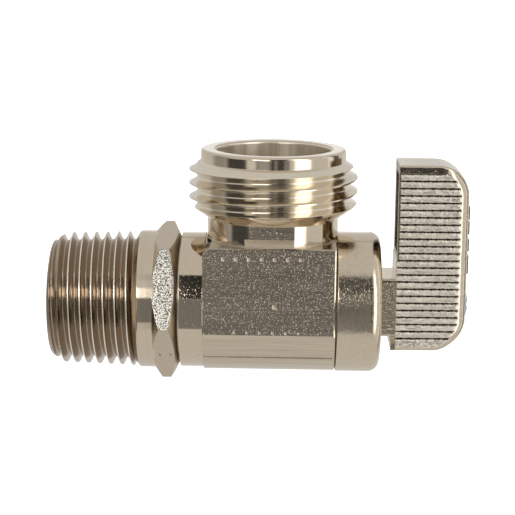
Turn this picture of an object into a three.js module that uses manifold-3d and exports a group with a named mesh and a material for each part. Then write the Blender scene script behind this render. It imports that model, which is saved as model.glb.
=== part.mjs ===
// A quarter-turn angle stop valve: a tapered pipe thread at the inlet, a hose thread at the outlet,
// a ball with an elbow port between them, and a ribbed wedge lever on the stem.
// Millimetres. The origin is the centre of the inlet's end face, +X runs along the inlet axis to the
// lever, and +Z runs along the outlet axis. The valve is modelled open.
import * as THREE from "three";
import { mergeVertices } from "three/addons/utils/BufferGeometryUtils.js";
import Module from "manifold-3d";

const wasm = await Module();
wasm.setup();

// ---------------------------------------------------------------- driving dimensions

const ROUND = 36; // facets round a turned piece
const FINE = 20; // facets round a small one
const GAP = 0.3; // between pieces that seat on each other
const BEYOND = 2; // how far a cutter runs past the face it cuts
const MARGIN = 0.15; // by which a thread's envelope clears its crests
const OVERLAP = 0.5; // how far the stages of one solid run into each other
const MOUTH_CHAMFER = 0.35; // at the outlet's mouth

const VALVE_X = 35.2; // inlet end face to the outlet axis

// Inlet adapter: the 1/2-14 tapered pipe thread, then a collar, a hexagon and a spigot.
const PIPE_PITCH = 25.4 / 14;
const PIPE_CREST_RADIUS = 10.4; // at the end face, on a 1:16 taper
const PIPE_THREAD_DEPTH = 1.22;
const PIPE_END_RADIUS = 9.4;
const PIPE_FIRST_CREST = 1.34; // along X, at the top of the thread
const TAPER = 1 / 32; // radius gained for each millimetre of length
const COLLAR_X = 13.9;
const COLLAR_RADIUS = 11.05;
const HEX_X = 16.5;
const HEX_END_X = 20.5;
const HEX_FLATS = 22;
const HEX_TURN = 20; // degrees by which a flat's normal leans up from the side
const HEX_CORNER_MARGIN = 0.05; // by which the chamfered blank clears the hexagon's corners
const HEX_NEAR_CHAMFER = 1.4; // length of the corners' chamfer at the collar and at the far end
const HEX_FAR_CHAMFER = 1.3;
const HEX_NEAR_RADIUS = 10.8; // where each chamfer starts
const HEX_FAR_RADIUS = 10.3;
const HEX_FACE_RADIUS = 9.8; // of the flat far end
const HEX_FACE_EDGE = 0.1;
const SPIGOT_RADIUS = 9;
const SPIGOT_END_X = 27.3;
const INLET_BORE_RADIUS = 6.5;
const INLET_BORE_CHAMFER = 0.6;
const GLAND_X = 21.4; // the groove for the spigot's O-ring
const GLAND_WIDTH = 1.8;
const GLAND_RADIUS = 7.9;
const GLAND_RING_RADIUS = 8.6;
const GLAND_RING_SECTION = 0.62;

// Valve body: a neck, a block and a boss in line, and the outlet standing on the block.
const NECK_X = HEX_END_X + GAP;
const NECK_RADIUS = 10.85;
const BLOCK_X = 24.5;
const BLOCK_END_X = 45.2;
const BLOCK_HALF_DEPTH = 10.68;
const BLOCK_TOP = 10.5;
const BLOCK_BELLY_RADIUS = 11.15;
const BLOCK_CHAMFER = 1.2;
const BOSS_END_X = 52.4;
const BOSS_RADIUS = 11.24;
const BOSS_FILLET = 1.6;
const CAVITY_RADIUS = 8.2;
const CAVITY_REACH = 7.6; // each way from the outlet axis

// Outlet: the 3/4-11.5 hose thread with a plain lip above it.
const HOSE_PITCH = 25.4 / 11.5;
const HOSE_CREST_RADIUS = 13.4;
const HOSE_THREAD_DEPTH = 1.28;
const HOSE_CREST_Z = 16.97; // a crest on the inlet side
const HOSE_RUNOUT_Z = 15.3; // where the fading thread still has the radius below
const HOSE_RUNOUT_RADIUS = 12.5;
const HOSE_FULL_LOW_Z = 16.2; // the thread is full between these two heights
const HOSE_FULL_HIGH_Z = 21.45;
const OUTLET_NECK_RADIUS = 10.4;
const OUTLET_NECK_TOP = 13.8;
const OUTLET_FLAT_DEPTH = 9.8; // from the outlet axis to the flat on each side of its neck
const LEDGE_TOP = 11.5; // a small ledge stands under each of those flats
const LEDGE_HALF_WIDTH = 4;
const LEDGE_DEPTH = 10.4;
const OUTLET_TOP = 24.68;
const LIP_RADIUS = 11.53;
const LIP_Z = 22.6;
const LIP_SLOPE = 0.5; // height of the slope under the lip
const LIP_FILLET = 0.5;
const OUTLET_BORE_RADIUS = 9.14;
const OUTLET_BORE_FLOOR = 12.5;
const RETAINER_Z = 10.05;
const RETAINER_TOP = 12.2;
const RETAINER_RADIUS = 8;
const RETAINER_BORE_RADIUS = 4.8;
const KEY_NOTCH_HALF_WIDTH = 0.8;
const KEY_NOTCH_DEPTH = 1;

// Ball and seats.
const BALL_RADIUS = 7.5;
const PORT_RADIUS = 4;
const DRIVE_SLOT_WIDTH = 4;
const DRIVE_SLOT_X = 5.3; // from the ball's centre
const SEAT_NEAR = 5.6; // the seat's nose, flange and back, from the ball's centre
const SEAT_FLANGE = 7.7;
const SEAT_FAR = 8.9;
const SEAT_RADIUS = 6.9;
const SEAT_NOSE_RADIUS = 5.4; // under SEAT_NEAR, so that the two seats clear each other
const SEAT_BORE_RADIUS = 4.2;
const SEAT_CLEARANCE = 0.2; // to the ball and to the bore round it
const SEAT_RING_SECTION = 0.46;
const SEAT_RING_RADIUS = 6.1;

// Stem, and the pocket in the body that holds its flange.
const STEM_RADIUS = 3.6;
const STEM_BORE_RADIUS = 3.7;
const TONGUE_HALF_HEIGHT = 3.6;
const TONGUE_PLAY = 0.15; // to each wall of the ball's slot
const FLANGE_X = 43;
const FLANGE_END_X = 45;
const FLANGE_RADIUS = 5.2;
const POCKET_RADIUS = 5.5;
const POCKET_END_X = 46.3;
const EAR_RADIUS = 6.5;
const EAR_POCKET_RADIUS = 6.9;
const EAR_ANGLE = 30; // degrees round the flange
const QUARTER_TURN = 90;
const EAR_PLAY = 1.5; // degrees left at each end of the travel
const STEM_GROOVES_X = [47.3, 49.9];
const STEM_GROOVE_WIDTH = 1.4;
const STEM_GROOVE_RADIUS = 2.6;
const STEM_RING_SECTION = 0.48;
const SQUARE_FLATS = 5.3;
const STEM_END_X = 62.5;
const SCREW_HOLE_RADIUS = 2.2;
const SCREW_HOLE_X = 55.6;

// Lever: a hollow wedge with a square hub, bevelled edges and grooves across both broad sides.
const HUB_X = 52.7;
const HUB_FLATS = 9.4;
const HUB_CHAMFER = 0.5;
const LEVER_X = 54.9;
const LEVER_END_X = 66.05;
const LEVER_LOW = -6.95;
const LEVER_HIGH = 22.8;
const LEVER_BACK_HALF = 5.1; // half its thickness at the back and at the front
const LEVER_FRONT_HALF = 4.8;
const LEVER_CORNER_HIGH = 5;
const LEVER_CORNER_LOW = 5.2;
const BEVEL_WIDTH = 1.3; // the slope round the top, front and foot of each broad side
const BEVEL_DEPTH = 0.7;
const GUIDE_HALF = LEVER_BACK_HALF - 0.3; // half the width of the root and the tab behind the lever
const GROOVE_COUNT = 23;
const GROOVE_PITCH = 1.148;
const GROOVE_WIDTH = 0.5;
const GROOVE_DEPTH = 0.4;
const TOP_GROOVE_Z = 20.38;
const GROOVE_START_X = LEVER_X + 0.45;
const ROOT_X = 54.7; // the back stands out a little round the hub
const ROOT_HIGH = 7.6;
const TAB_X = 54.15; // and a small tab stands out at its foot
const TAB_HEIGHT = 1.2;
const TAB_LIFT = 0.1; // from the lever's foot
const CORE_WIDTH = 6.2; // the hollow in the lever's back
const CORE_LOW = 8.6;
const CORE_HIGH = 21.2;
const CORE_END_X = 62.6;
const PAD_HEIGHT = 0.4; // raised pads on the lever's end face
const PAD_HALF_WIDTH = 1.6;
const PADS = [[6.6, 3], [9.7, 2], [12.5, 2.1], [14.9, 2.1]]; // middle and length along Z

// Screw that holds the lever, and the split washer under its head.
const SCREW_HEAD_RADIUS = 3.3;
const SCREW_HEAD_X = 64.3;
const SCREW_DOME = 0.6; // how far the head stands out of the lever
const SCREW_EDGE = 0.3; // how far the head's edge lies inside the lever
const SCREW_SHANK_RADIUS = 1.9;
const SCREW_TIP_X = 56.6;
const SCREW_TIP_CHAMFER = 0.6;
const CROSS_HALF_LENGTH = 1.9; // the cross recess in its head
const CROSS_HALF_WIDTH = 0.45;
const CROSS_FLOOR_X = LEVER_END_X - 0.9;
const RECESS_X = 63.3;
const RECESS_RADIUS = 3.7;
const WASHER_X = 63.45;
const WASHER_THICKNESS = 0.7;
const WASHER_PLAY = 0.2; // round the screw's shank
const WASHER_EDGE = 0.1; // inside the screw's head
const WASHER_SPLIT = 0.6;

// ---------------------------------------------------------------- materials

const nickel = new THREE.MeshStandardMaterial({ color: 0xb4a693, metalness: 1, roughness: 0.3 });
const castNickel = new THREE.MeshStandardMaterial({ color: 0xb9af9f, metalness: 1, roughness: 0.45 });
const steel = new THREE.MeshStandardMaterial({ color: 0xa9a9a6, metalness: 1, roughness: 0.35 });
const chromedBrass = new THREE.MeshStandardMaterial({ color: 0xd0d0cc, metalness: 1, roughness: 0.12 });
const brass = new THREE.MeshStandardMaterial({ color: 0xb08d57, metalness: 1, roughness: 0.35 });
const ptfe = new THREE.MeshStandardMaterial({ color: 0xe9e8e2, metalness: 0, roughness: 0.5 });
const rubber = new THREE.MeshStandardMaterial({ color: 0x1b1b1c, metalness: 0, roughness: 0.7 });

// ---------------------------------------------------------------- shape helpers

const radians = THREE.MathUtils.degToRad;
const TO_X = new THREE.Matrix4().makeRotationY(Math.PI / 2); // turns +Z to +X

function solid(geometry) {
  geometry.deleteAttribute("normal");
  geometry.deleteAttribute("uv");
  const merged = mergeVertices(geometry);
  const vertProperties = new Float32Array(merged.attributes.position.array);
  const triVerts = new Uint32Array(merged.index.array);
  return new wasm.Manifold(new wasm.Mesh({ numProp: 3, vertProperties, triVerts }));
}

function mesh(name, shape, material) {
  const { vertProperties, triVerts } = shape.getMesh();
  const geometry = new THREE.BufferGeometry();
  geometry.setAttribute("position", new THREE.BufferAttribute(vertProperties, 3));
  geometry.setIndex(new THREE.BufferAttribute(triVerts, 1));
  geometry.computeVertexNormals();
  const made = new THREE.Mesh(geometry, material);
  made.name = name;
  return made;
}

// A solid of revolution about +Z from a loop of [along the axis, radius] points.
function turnedZ(profile, facets = ROUND) {
  const loop = [...profile, profile[0]];
  const area = loop.slice(1).reduce((sum, [a, r], i) => sum + loop[i][0] * r - a * loop[i][1], 0);
  if (area > 0) loop.reverse();
  const points = loop.map(([along, radius]) => new THREE.Vector2(radius, along));
  return new THREE.LatheGeometry(points, facets).rotateX(Math.PI / 2);
}

const alongZ = (profile, facets) => solid(turnedZ(profile, facets));
const alongX = (profile, facets) => solid(turnedZ(profile, facets).applyMatrix4(TO_X));

function rodX(from, to, radius, facets) {
  return alongX([[from, 0], [from, radius], [to, radius], [to, 0]], facets);
}

function rodZ(from, to, radius, facets) {
  return alongZ([[from, 0], [from, radius], [to, radius], [to, 0]], facets);
}

function box([x0, x1], [y0, y1], [z0, z1]) {
  const geometry = new THREE.BoxGeometry(x1 - x0, y1 - y0, z1 - z0);
  geometry.translate((x0 + x1) / 2, (y0 + y1) / 2, (z0 + z1) / 2);
  return solid(geometry);
}

// A ring of round section about +Z.
function ringZ(along, radius, section) {
  return solid(new THREE.TorusGeometry(radius, section, 6, FINE).translate(0, 0, along));
}

// A shape drawn in Y and Z, extruded along X.
function extrudedX(shape, from, to) {
  const settings = { depth: to - from, bevelEnabled: false, curveSegments: 8 };
  const geometry = new THREE.ExtrudeGeometry(shape, settings);
  const axes = new THREE.Matrix4().set(0, 0, 1, from, 1, 0, 0, 0, 0, 1, 0, 0, 0, 0, 0, 1);
  return solid(geometry.applyMatrix4(axes));
}

function polygon(points) {
  return new THREE.Shape(points.map(([a, b]) => new THREE.Vector2(a, b)));
}

// A screw thread's rod about +Z. The section is a loop of [share of the pitch, radius], one pitch long,
// and it climbs one pitch in each turn; the radius grows with the height by the taper.
function threadedRod(pitch, turns, section, taper = 0) {
  const rows = turns * section.length;
  const points = [];
  const addPoint = (row, facet) => {
    const [share, radius] = section[row % section.length];
    const height = pitch * (Math.floor(row / section.length) + share + facet / ROUND);
    const angle = (2 * Math.PI * facet) / ROUND;
    const reach = radius + taper * height;
    points.push(reach * Math.cos(angle), reach * Math.sin(angle), height);
  };
  for (let row = 0; row < rows; row++) for (let facet = 0; facet < ROUND; facet++) addPoint(row, facet);
  for (let row = rows; row < rows + section.length; row++) addPoint(row, 0);
  const at = (row, facet) => {
    const wrapped = facet === ROUND ? row + section.length : row;
    const column = facet === ROUND ? 0 : facet;
    return wrapped < rows ? wrapped * ROUND + column : rows * ROUND + wrapped - rows;
  };
  const faces = [];
  for (let row = 0; row + 1 < rows; row++)
    for (let facet = 0; facet < ROUND; facet++) {
      const corners = [at(row, facet), at(row, facet + 1), at(row + 1, facet + 1), at(row + 1, facet)];
      faces.push(corners[0], corners[1], corners[2], corners[0], corners[2], corners[3]);
    }
  // Each end is closed by a fan from the axis, round the last row and along the step in it.
  const closeEnd = (row, height, flip) => {
    const centre = points.length / 3;
    points.push(0, 0, height);
    const edge = Array.from({ length: ROUND + 1 }, (_, facet) => at(row, facet));
    for (let step = section.length - 1; step > 0; step--) edge.push(at(row + step, 0));
    edge.forEach((vertex, i) => {
      const next = edge[(i + 1) % edge.length];
      faces.push(centre, ...(flip ? [next, vertex] : [vertex, next]));
    });
  };
  closeEnd(0, -pitch, true);
  closeEnd(rows - 1, pitch * (turns + 2), false);
  const geometry = new THREE.BufferGeometry();
  geometry.setAttribute("position", new THREE.BufferAttribute(new Float32Array(points), 3));
  geometry.setIndex(faces);
  return geometry;
}

// One pitch of a 60 degree thread: a flat root, a flank, a flat crest and the other flank.
function threadSection(pitch, depth, crestRadius) {
  const flank = (depth * Math.tan(radians(30))) / pitch;
  const flat = (1 - 2 * flank) / 2;
  const root = crestRadius - depth;
  return [[0, root], [flat, root], [flat + flank, crestRadius], [2 * flat + flank, crestRadius]];
}

// The share of the pitch at which the middle of the crest lies.
const crestShare = (section) => (section[2][0] + section[3][0]) / 2;

// ---------------------------------------------------------------- inlet adapter

function pipeThread() {
  const section = threadSection(PIPE_PITCH, PIPE_THREAD_DEPTH, PIPE_CREST_RADIUS);
  const turns = Math.ceil(COLLAR_X / PIPE_PITCH) + 3;
  // The top of the inlet is half a turn round the rod, so a crest lies half a pitch further up there.
  const start = PIPE_FIRST_CREST - PIPE_PITCH * (2.5 + crestShare(section));
  const rod = threadedRod(PIPE_PITCH, turns, section, TAPER).translate(0, 0, start);
  const chamferEnd = 2.1;
  const crestAt = (x) => PIPE_CREST_RADIUS + MARGIN + TAPER * x;
  const envelope = alongX([
    [0, 0],
    [0, PIPE_END_RADIUS],
    [chamferEnd, crestAt(chamferEnd)],
    [COLLAR_X, crestAt(COLLAR_X)],
    [COLLAR_X, 0],
  ]);
  return solid(rod.applyMatrix4(TO_X)).intersect(envelope);
}

function hexagon() {
  const corner = HEX_FLATS / 2 / Math.cos(Math.PI / 6);
  const points = Array.from({ length: 6 }, (_, i) => {
    const angle = radians(180 - HEX_TURN + 30 + 60 * i);
    return [corner * Math.cos(angle), corner * Math.sin(angle)];
  });
  const chamfers = alongX([
    [HEX_X, 0],
    [HEX_X, HEX_NEAR_RADIUS],
    [HEX_X + HEX_NEAR_CHAMFER, corner + HEX_CORNER_MARGIN],
    [HEX_END_X - HEX_FAR_CHAMFER, corner + HEX_CORNER_MARGIN],
    [HEX_END_X - HEX_FACE_EDGE, HEX_FAR_RADIUS],
    [HEX_END_X, HEX_FACE_RADIUS],
    [HEX_END_X, 0],
  ]);
  return extrudedX(polygon(points), HEX_X, HEX_END_X).intersect(chamfers);
}

function inletAdapter() {
  const collar = rodX(COLLAR_X - OVERLAP, HEX_X + OVERLAP, COLLAR_RADIUS);
  const spigot = alongX([
    [HEX_END_X - OVERLAP, 0],
    [HEX_END_X - OVERLAP, SPIGOT_RADIUS],
    [GLAND_X, SPIGOT_RADIUS],
    [GLAND_X, GLAND_RADIUS],
    [GLAND_X + GLAND_WIDTH, GLAND_RADIUS],
    [GLAND_X + GLAND_WIDTH, SPIGOT_RADIUS],
    [SPIGOT_END_X, SPIGOT_RADIUS],
    [SPIGOT_END_X, 0],
  ]);
  const seatPocket = rodX(VALVE_X - RETAINER_Z, SPIGOT_END_X + BEYOND, SEAT_RADIUS + SEAT_CLEARANCE);
  const bore = alongX([
    [-BEYOND, 0],
    [-BEYOND, INLET_BORE_RADIUS + INLET_BORE_CHAMFER + BEYOND],
    [INLET_BORE_CHAMFER, INLET_BORE_RADIUS],
    [SPIGOT_END_X, INLET_BORE_RADIUS],
    [SPIGOT_END_X, 0],
  ]);
  return pipeThread().add(collar).add(hexagon()).add(spigot).subtract(bore).subtract(seatPocket);
}

// ---------------------------------------------------------------- valve body

function bodyBlock() {
  const top = polygon([
    [-BLOCK_HALF_DEPTH, 0],
    [BLOCK_HALF_DEPTH, 0],
    [BLOCK_HALF_DEPTH, BLOCK_TOP],
    [-BLOCK_HALF_DEPTH, BLOCK_TOP],
  ]);
  const sides = box(
    [BLOCK_X, BLOCK_END_X],
    [-BLOCK_HALF_DEPTH, BLOCK_HALF_DEPTH],
    [-BLOCK_BELLY_RADIUS - BEYOND, BLOCK_TOP],
  );
  const belly = rodX(BLOCK_X, BLOCK_END_X, BLOCK_BELLY_RADIUS);
  const bevel = polygon([
    [BLOCK_X - BEYOND, BLOCK_TOP - BLOCK_CHAMFER - BEYOND],
    [BLOCK_X + BLOCK_CHAMFER + BEYOND, BLOCK_TOP + BEYOND],
    [BLOCK_X - BEYOND, BLOCK_TOP + BEYOND],
  ]);
  const width = 4 * BLOCK_HALF_DEPTH;
  const bevelGeometry = new THREE.ExtrudeGeometry(bevel, { depth: width, bevelEnabled: false });
  bevelGeometry.rotateX(Math.PI / 2).translate(0, width / 2, 0);
  return extrudedX(top, BLOCK_X, BLOCK_END_X).add(belly).intersect(sides).subtract(solid(bevelGeometry));
}

function bodyBoss() {
  const arc = Array.from({ length: 5 }, (_, i) => {
    const angle = radians(22.5 * i);
    const along = BOSS_END_X - BOSS_FILLET + BOSS_FILLET * Math.sin(angle);
    return [along, BOSS_RADIUS - BOSS_FILLET + BOSS_FILLET * Math.cos(angle)];
  });
  const start = BLOCK_END_X - OVERLAP;
  return alongX([[start, 0], [start, BOSS_RADIUS], ...arc, [BOSS_END_X, 0]]);
}

function hoseThread() {
  const section = threadSection(HOSE_PITCH, HOSE_THREAD_DEPTH, HOSE_CREST_RADIUS);
  const turns = 8;
  // The inlet side is half a turn round the rod.
  const start = HOSE_CREST_Z - HOSE_PITCH * (3.5 + crestShare(section));
  const envelope = alongZ([
    [OUTLET_NECK_TOP, 0],
    [OUTLET_NECK_TOP, OUTLET_NECK_RADIUS],
    [HOSE_RUNOUT_Z, HOSE_RUNOUT_RADIUS],
    [HOSE_FULL_LOW_Z, HOSE_CREST_RADIUS + MARGIN],
    [HOSE_FULL_HIGH_Z, HOSE_CREST_RADIUS + MARGIN],
    [LIP_Z + MARGIN, LIP_RADIUS],
    [LIP_Z + MARGIN, 0],
  ]);
  return solid(threadedRod(HOSE_PITCH, turns, section).translate(0, 0, start)).intersect(envelope);
}

function outletNeck() {
  const neck = rodZ(0, OUTLET_NECK_TOP + OVERLAP, OUTLET_NECK_RADIUS);
  const ledge = box([-LEDGE_HALF_WIDTH, LEDGE_HALF_WIDTH], [-LEDGE_DEPTH, LEDGE_DEPTH], [0, LEDGE_TOP]);
  const flats = box(
    [-OUTLET_NECK_RADIUS - 1, OUTLET_NECK_RADIUS + 1],
    [-OUTLET_FLAT_DEPTH, OUTLET_FLAT_DEPTH],
    [0, OUTLET_NECK_TOP + 1],
  );
  return neck.intersect(flats).add(ledge);
}

function outletLip() {
  return alongZ([
    [OUTLET_NECK_TOP, 0],
    [OUTLET_NECK_TOP, OUTLET_NECK_RADIUS],
    [LIP_Z - LIP_SLOPE, LIP_RADIUS],
    [OUTLET_TOP - LIP_FILLET, LIP_RADIUS],
    [OUTLET_TOP - 0.3 * LIP_FILLET, LIP_RADIUS - 0.3 * LIP_FILLET],
    [OUTLET_TOP, LIP_RADIUS - LIP_FILLET],
    [OUTLET_TOP, 0],
  ]);
}

// A wedge-shaped slice about X, from one angle to another, measured from +Z towards +Y.
function sliceX(from, to, radius, startDegrees, endDegrees) {
  const steps = 8;
  const points = [[0, 0]];
  for (let i = 0; i <= steps; i++) {
    const angle = radians(startDegrees + ((endDegrees - startDegrees) * i) / steps);
    points.push([radius * Math.sin(angle), radius * Math.cos(angle)]);
  }
  return extrudedX(polygon(points.reverse()), from, to);
}

function bodyWaterways() {
  const inlet = rodX(NECK_X - BEYOND, VALVE_X - CAVITY_REACH, SPIGOT_RADIUS + GAP);
  const cavity = rodX(VALVE_X - CAVITY_REACH - OVERLAP, VALVE_X + CAVITY_REACH, CAVITY_RADIUS);
  const pocket = rodX(VALVE_X + CAVITY_REACH - OVERLAP, POCKET_END_X, POCKET_RADIUS);
  const travel = sliceX(
    VALVE_X + CAVITY_REACH - OVERLAP,
    FLANGE_END_X + GAP,
    EAR_POCKET_RADIUS,
    -EAR_ANGLE / 2 - EAR_PLAY,
    EAR_ANGLE / 2 + QUARTER_TURN + EAR_PLAY,
  );
  const stemBore = rodX(POCKET_END_X - OVERLAP, BOSS_END_X + BEYOND, STEM_BORE_RADIUS, FINE);
  return inlet.add(cavity).add(pocket).add(travel).add(stemBore);
}

function outletWaterway() {
  const mouth = alongZ([
    [OUTLET_BORE_FLOOR, 0],
    [OUTLET_BORE_FLOOR, OUTLET_BORE_RADIUS],
    [OUTLET_TOP - MOUTH_CHAMFER, OUTLET_BORE_RADIUS],
    [OUTLET_TOP + BEYOND, OUTLET_BORE_RADIUS + MOUTH_CHAMFER + BEYOND],
    [OUTLET_TOP + BEYOND, 0],
  ]);
  const retainerHole = rodZ(RETAINER_Z - MARGIN, OUTLET_BORE_FLOOR + OVERLAP, RETAINER_RADIUS + GAP);
  const seatHole = rodZ(0, RETAINER_Z, SEAT_RADIUS + SEAT_CLEARANCE);
  return mouth.add(retainerHole).add(seatHole);
}

function valveBody() {
  // The neck is a little wider than the block is deep, so only its core runs into the block.
  const neck = rodX(NECK_X, BLOCK_X, NECK_RADIUS).add(rodX(NECK_X, BLOCK_X + OVERLAP, SPIGOT_RADIUS + 1));
  const outlet = outletNeck().add(hoseThread()).add(outletLip()).translate([VALVE_X, 0, 0]);
  const outside = neck.add(bodyBlock()).add(bodyBoss()).add(outlet);
  return outside.subtract(bodyWaterways()).subtract(outletWaterway().translate([VALVE_X, 0, 0]));
}

function outletSeatRetainer() {
  const ring = alongZ([
    [RETAINER_Z, RETAINER_BORE_RADIUS],
    [RETAINER_Z, RETAINER_RADIUS],
    [RETAINER_TOP, RETAINER_RADIUS],
    [RETAINER_TOP, RETAINER_BORE_RADIUS],
  ]);
  const notch = box(
    [-RETAINER_RADIUS - BEYOND, RETAINER_RADIUS + BEYOND],
    [-KEY_NOTCH_HALF_WIDTH, KEY_NOTCH_HALF_WIDTH],
    [RETAINER_TOP - KEY_NOTCH_DEPTH, RETAINER_TOP + BEYOND],
  );
  return ring.subtract(notch);
}

// ---------------------------------------------------------------- ball and seats

function ball() {
  const sphere = solid(new THREE.SphereGeometry(BALL_RADIUS, ROUND, FINE));
  const elbow = solid(new THREE.SphereGeometry(PORT_RADIUS, FINE, 10));
  const inletPort = rodX(-BALL_RADIUS - BEYOND, 0, PORT_RADIUS, FINE);
  const outletPort = rodZ(0, BALL_RADIUS + BEYOND, PORT_RADIUS, FINE);
  const slot = box(
    [DRIVE_SLOT_X, BALL_RADIUS + BEYOND],
    [-DRIVE_SLOT_WIDTH / 2, DRIVE_SLOT_WIDTH / 2],
    [-BALL_RADIUS, BALL_RADIUS],
  );
  return sphere.subtract(elbow).subtract(inletPort).subtract(outletPort).subtract(slot);
}

// A flanged seat round +Z, its cone facing the ball at the origin.
function seat() {
  const reach = BALL_RADIUS + SEAT_CLEARANCE;
  const outerTouch = Math.sqrt(reach ** 2 - SEAT_NEAR ** 2);
  const innerTouch = Math.sqrt(reach ** 2 - SEAT_BORE_RADIUS ** 2);
  return alongZ([
    [SEAT_FAR, SEAT_BORE_RADIUS],
    [SEAT_FAR, SEAT_RADIUS],
    [SEAT_FLANGE, SEAT_RADIUS],
    [SEAT_FLANGE, SEAT_NOSE_RADIUS],
    [SEAT_NEAR, SEAT_NOSE_RADIUS],
    [SEAT_NEAR, outerTouch],
    [innerTouch, SEAT_BORE_RADIUS],
  ]);
}

const SEAT_RING_Z = (SEAT_FAR + RETAINER_Z) / 2;

// ---------------------------------------------------------------- stem

function stem() {
  const tongue = box(
    [VALVE_X + DRIVE_SLOT_X + GAP, FLANGE_X + OVERLAP],
    [TONGUE_PLAY - DRIVE_SLOT_WIDTH / 2, DRIVE_SLOT_WIDTH / 2 - TONGUE_PLAY],
    [-TONGUE_HALF_HEIGHT, TONGUE_HALF_HEIGHT],
  );
  const grooves = STEM_GROOVES_X.flatMap((x) => [
    [x, STEM_RADIUS],
    [x, STEM_GROOVE_RADIUS],
    [x + STEM_GROOVE_WIDTH, STEM_GROOVE_RADIUS],
    [x + STEM_GROOVE_WIDTH, STEM_RADIUS],
  ]);
  const shaft = alongX(
    [
      [FLANGE_X, 0],
      [FLANGE_X, FLANGE_RADIUS],
      [FLANGE_END_X, FLANGE_RADIUS],
      [FLANGE_END_X, STEM_RADIUS],
      ...grooves,
      [STEM_END_X, STEM_RADIUS],
      [STEM_END_X, 0],
    ],
    FINE,
  );
  const ear = sliceX(FLANGE_X, FLANGE_END_X, EAR_RADIUS, -EAR_ANGLE / 2, EAR_ANGLE / 2);
  const half = SQUARE_FLATS / 2;
  const square = box([FLANGE_X, STEM_END_X], [-half, half], [-half, half]);
  const roundPart = rodX(VALVE_X, HUB_X, 2 * STEM_RADIUS);
  const screwHole = rodX(SCREW_HOLE_X, STEM_END_X + BEYOND, SCREW_HOLE_RADIUS, FINE);
  return shaft.intersect(square.add(roundPart)).add(tongue).add(ear).subtract(screwHole);
}

function stemThrustWasher() {
  const outer = FLANGE_RADIUS;
  const inner = STEM_RADIUS + MARGIN;
  const from = FLANGE_END_X + SEAT_CLEARANCE;
  const to = POCKET_END_X - SEAT_CLEARANCE;
  return alongX([[from, inner], [from, outer], [to, outer], [to, inner]], FINE);
}

// ---------------------------------------------------------------- lever

function leverOutline(inset) {
  const shape = new THREE.Shape();
  const high = LEVER_HIGH - inset;
  const low = LEVER_LOW + inset;
  const front = LEVER_END_X - inset;
  const topCorner = LEVER_CORNER_HIGH - inset;
  const lowCorner = LEVER_CORNER_LOW - inset;
  shape.moveTo(LEVER_X, low);
  shape.lineTo(front - lowCorner, low);
  shape.absarc(front - lowCorner, low + lowCorner, lowCorner, -Math.PI / 2, 0);
  shape.absarc(front - topCorner, high - topCorner, topCorner, 0, Math.PI / 2);
  shape.lineTo(LEVER_X, high);
  return shape;
}

// A shape drawn in X and Z, extruded along Y.
function extrudedY(shape, from, to) {
  const settings = { depth: to - from, bevelEnabled: false, curveSegments: 8 };
  const geometry = new THREE.ExtrudeGeometry(shape, settings);
  return solid(geometry.rotateX(Math.PI / 2).translate(0, to, 0));
}

// The lever's plan: thick at the back and thinner at the front.
function leverPlan() {
  const plan = polygon([
    [LEVER_X, -LEVER_BACK_HALF],
    [LEVER_END_X, -LEVER_FRONT_HALF],
    [LEVER_END_X, LEVER_FRONT_HALF],
    [LEVER_X, LEVER_BACK_HALF],
  ]);
  const height = LEVER_HIGH - LEVER_LOW + 2 * BEYOND;
  const geometry = new THREE.ExtrudeGeometry(plan, { depth: height, bevelEnabled: false });
  return solid(geometry.translate(0, 0, LEVER_LOW - BEYOND));
}

// Wedge-shaped cutters for the grooves across one broad side, following the plan's slope.
function grooves(side) {
  const half = GROOVE_WIDTH / 2;
  const slope = (LEVER_BACK_HALF - LEVER_FRONT_HALF) / (LEVER_END_X - LEVER_X);
  const lean = -side * slope;
  const along = new THREE.Matrix4().set(
    0, 0, 1, GROOVE_START_X,
    1, 0, lean, lean * (GROOVE_START_X - LEVER_X),
    0, 1, 0, 0,
    0, 0, 0, 1,
  );
  return Array.from({ length: GROOVE_COUNT }, (_, i) => {
    const z = TOP_GROOVE_Z - GROOVE_PITCH * i;
    const surface = side * LEVER_BACK_HALF;
    const outer = surface + side * half;
    const points = [[surface - side * GROOVE_DEPTH, z], [outer, z + 2 * half], [outer, z - 2 * half]];
    const section = polygon(side < 0 ? points : points.reverse());
    const length = LEVER_END_X - LEVER_X + BEYOND;
    const geometry = new THREE.ExtrudeGeometry(section, { depth: length, bevelEnabled: false });
    return solid(geometry.applyMatrix4(along));
  });
}

function leverBlank() {
  const core = extrudedY(leverOutline(0), BEVEL_DEPTH - LEVER_BACK_HALF, LEVER_BACK_HALF - BEVEL_DEPTH);
  const faces = extrudedY(leverOutline(BEVEL_WIDTH), -LEVER_BACK_HALF, LEVER_BACK_HALF);
  const bevelled = core.add(faces).hull().intersect(leverPlan());
  return [...grooves(-1), ...grooves(1)].reduce((rest, groove) => rest.subtract(groove), bevelled);
}

function leverHub() {
  const flat = HUB_FLATS / 2;
  const corner = flat - HUB_CHAMFER;
  const section = polygon([
    [flat, -corner], [flat, corner], [corner, flat], [-corner, flat],
    [-flat, corner], [-flat, -corner], [-corner, -flat], [corner, -flat],
  ]);
  return extrudedX(section, HUB_X, LEVER_X + OVERLAP);
}

function leverBack() {
  const sides = [-GUIDE_HALF, GUIDE_HALF];
  const root = box([ROOT_X, LEVER_X + OVERLAP], sides, [LEVER_LOW + TAB_HEIGHT / 2, ROOT_HIGH]);
  const tab = box([TAB_X, LEVER_X + OVERLAP], sides, [LEVER_LOW + TAB_LIFT, LEVER_LOW + TAB_HEIGHT]);
  return root.add(tab);
}

function leverPads() {
  return PADS.map(([middle, length]) =>
    box(
      [LEVER_END_X - OVERLAP, LEVER_END_X + PAD_HEIGHT],
      [-PAD_HALF_WIDTH, PAD_HALF_WIDTH],
      [middle - length / 2, middle + length / 2],
    ),
  );
}

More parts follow.
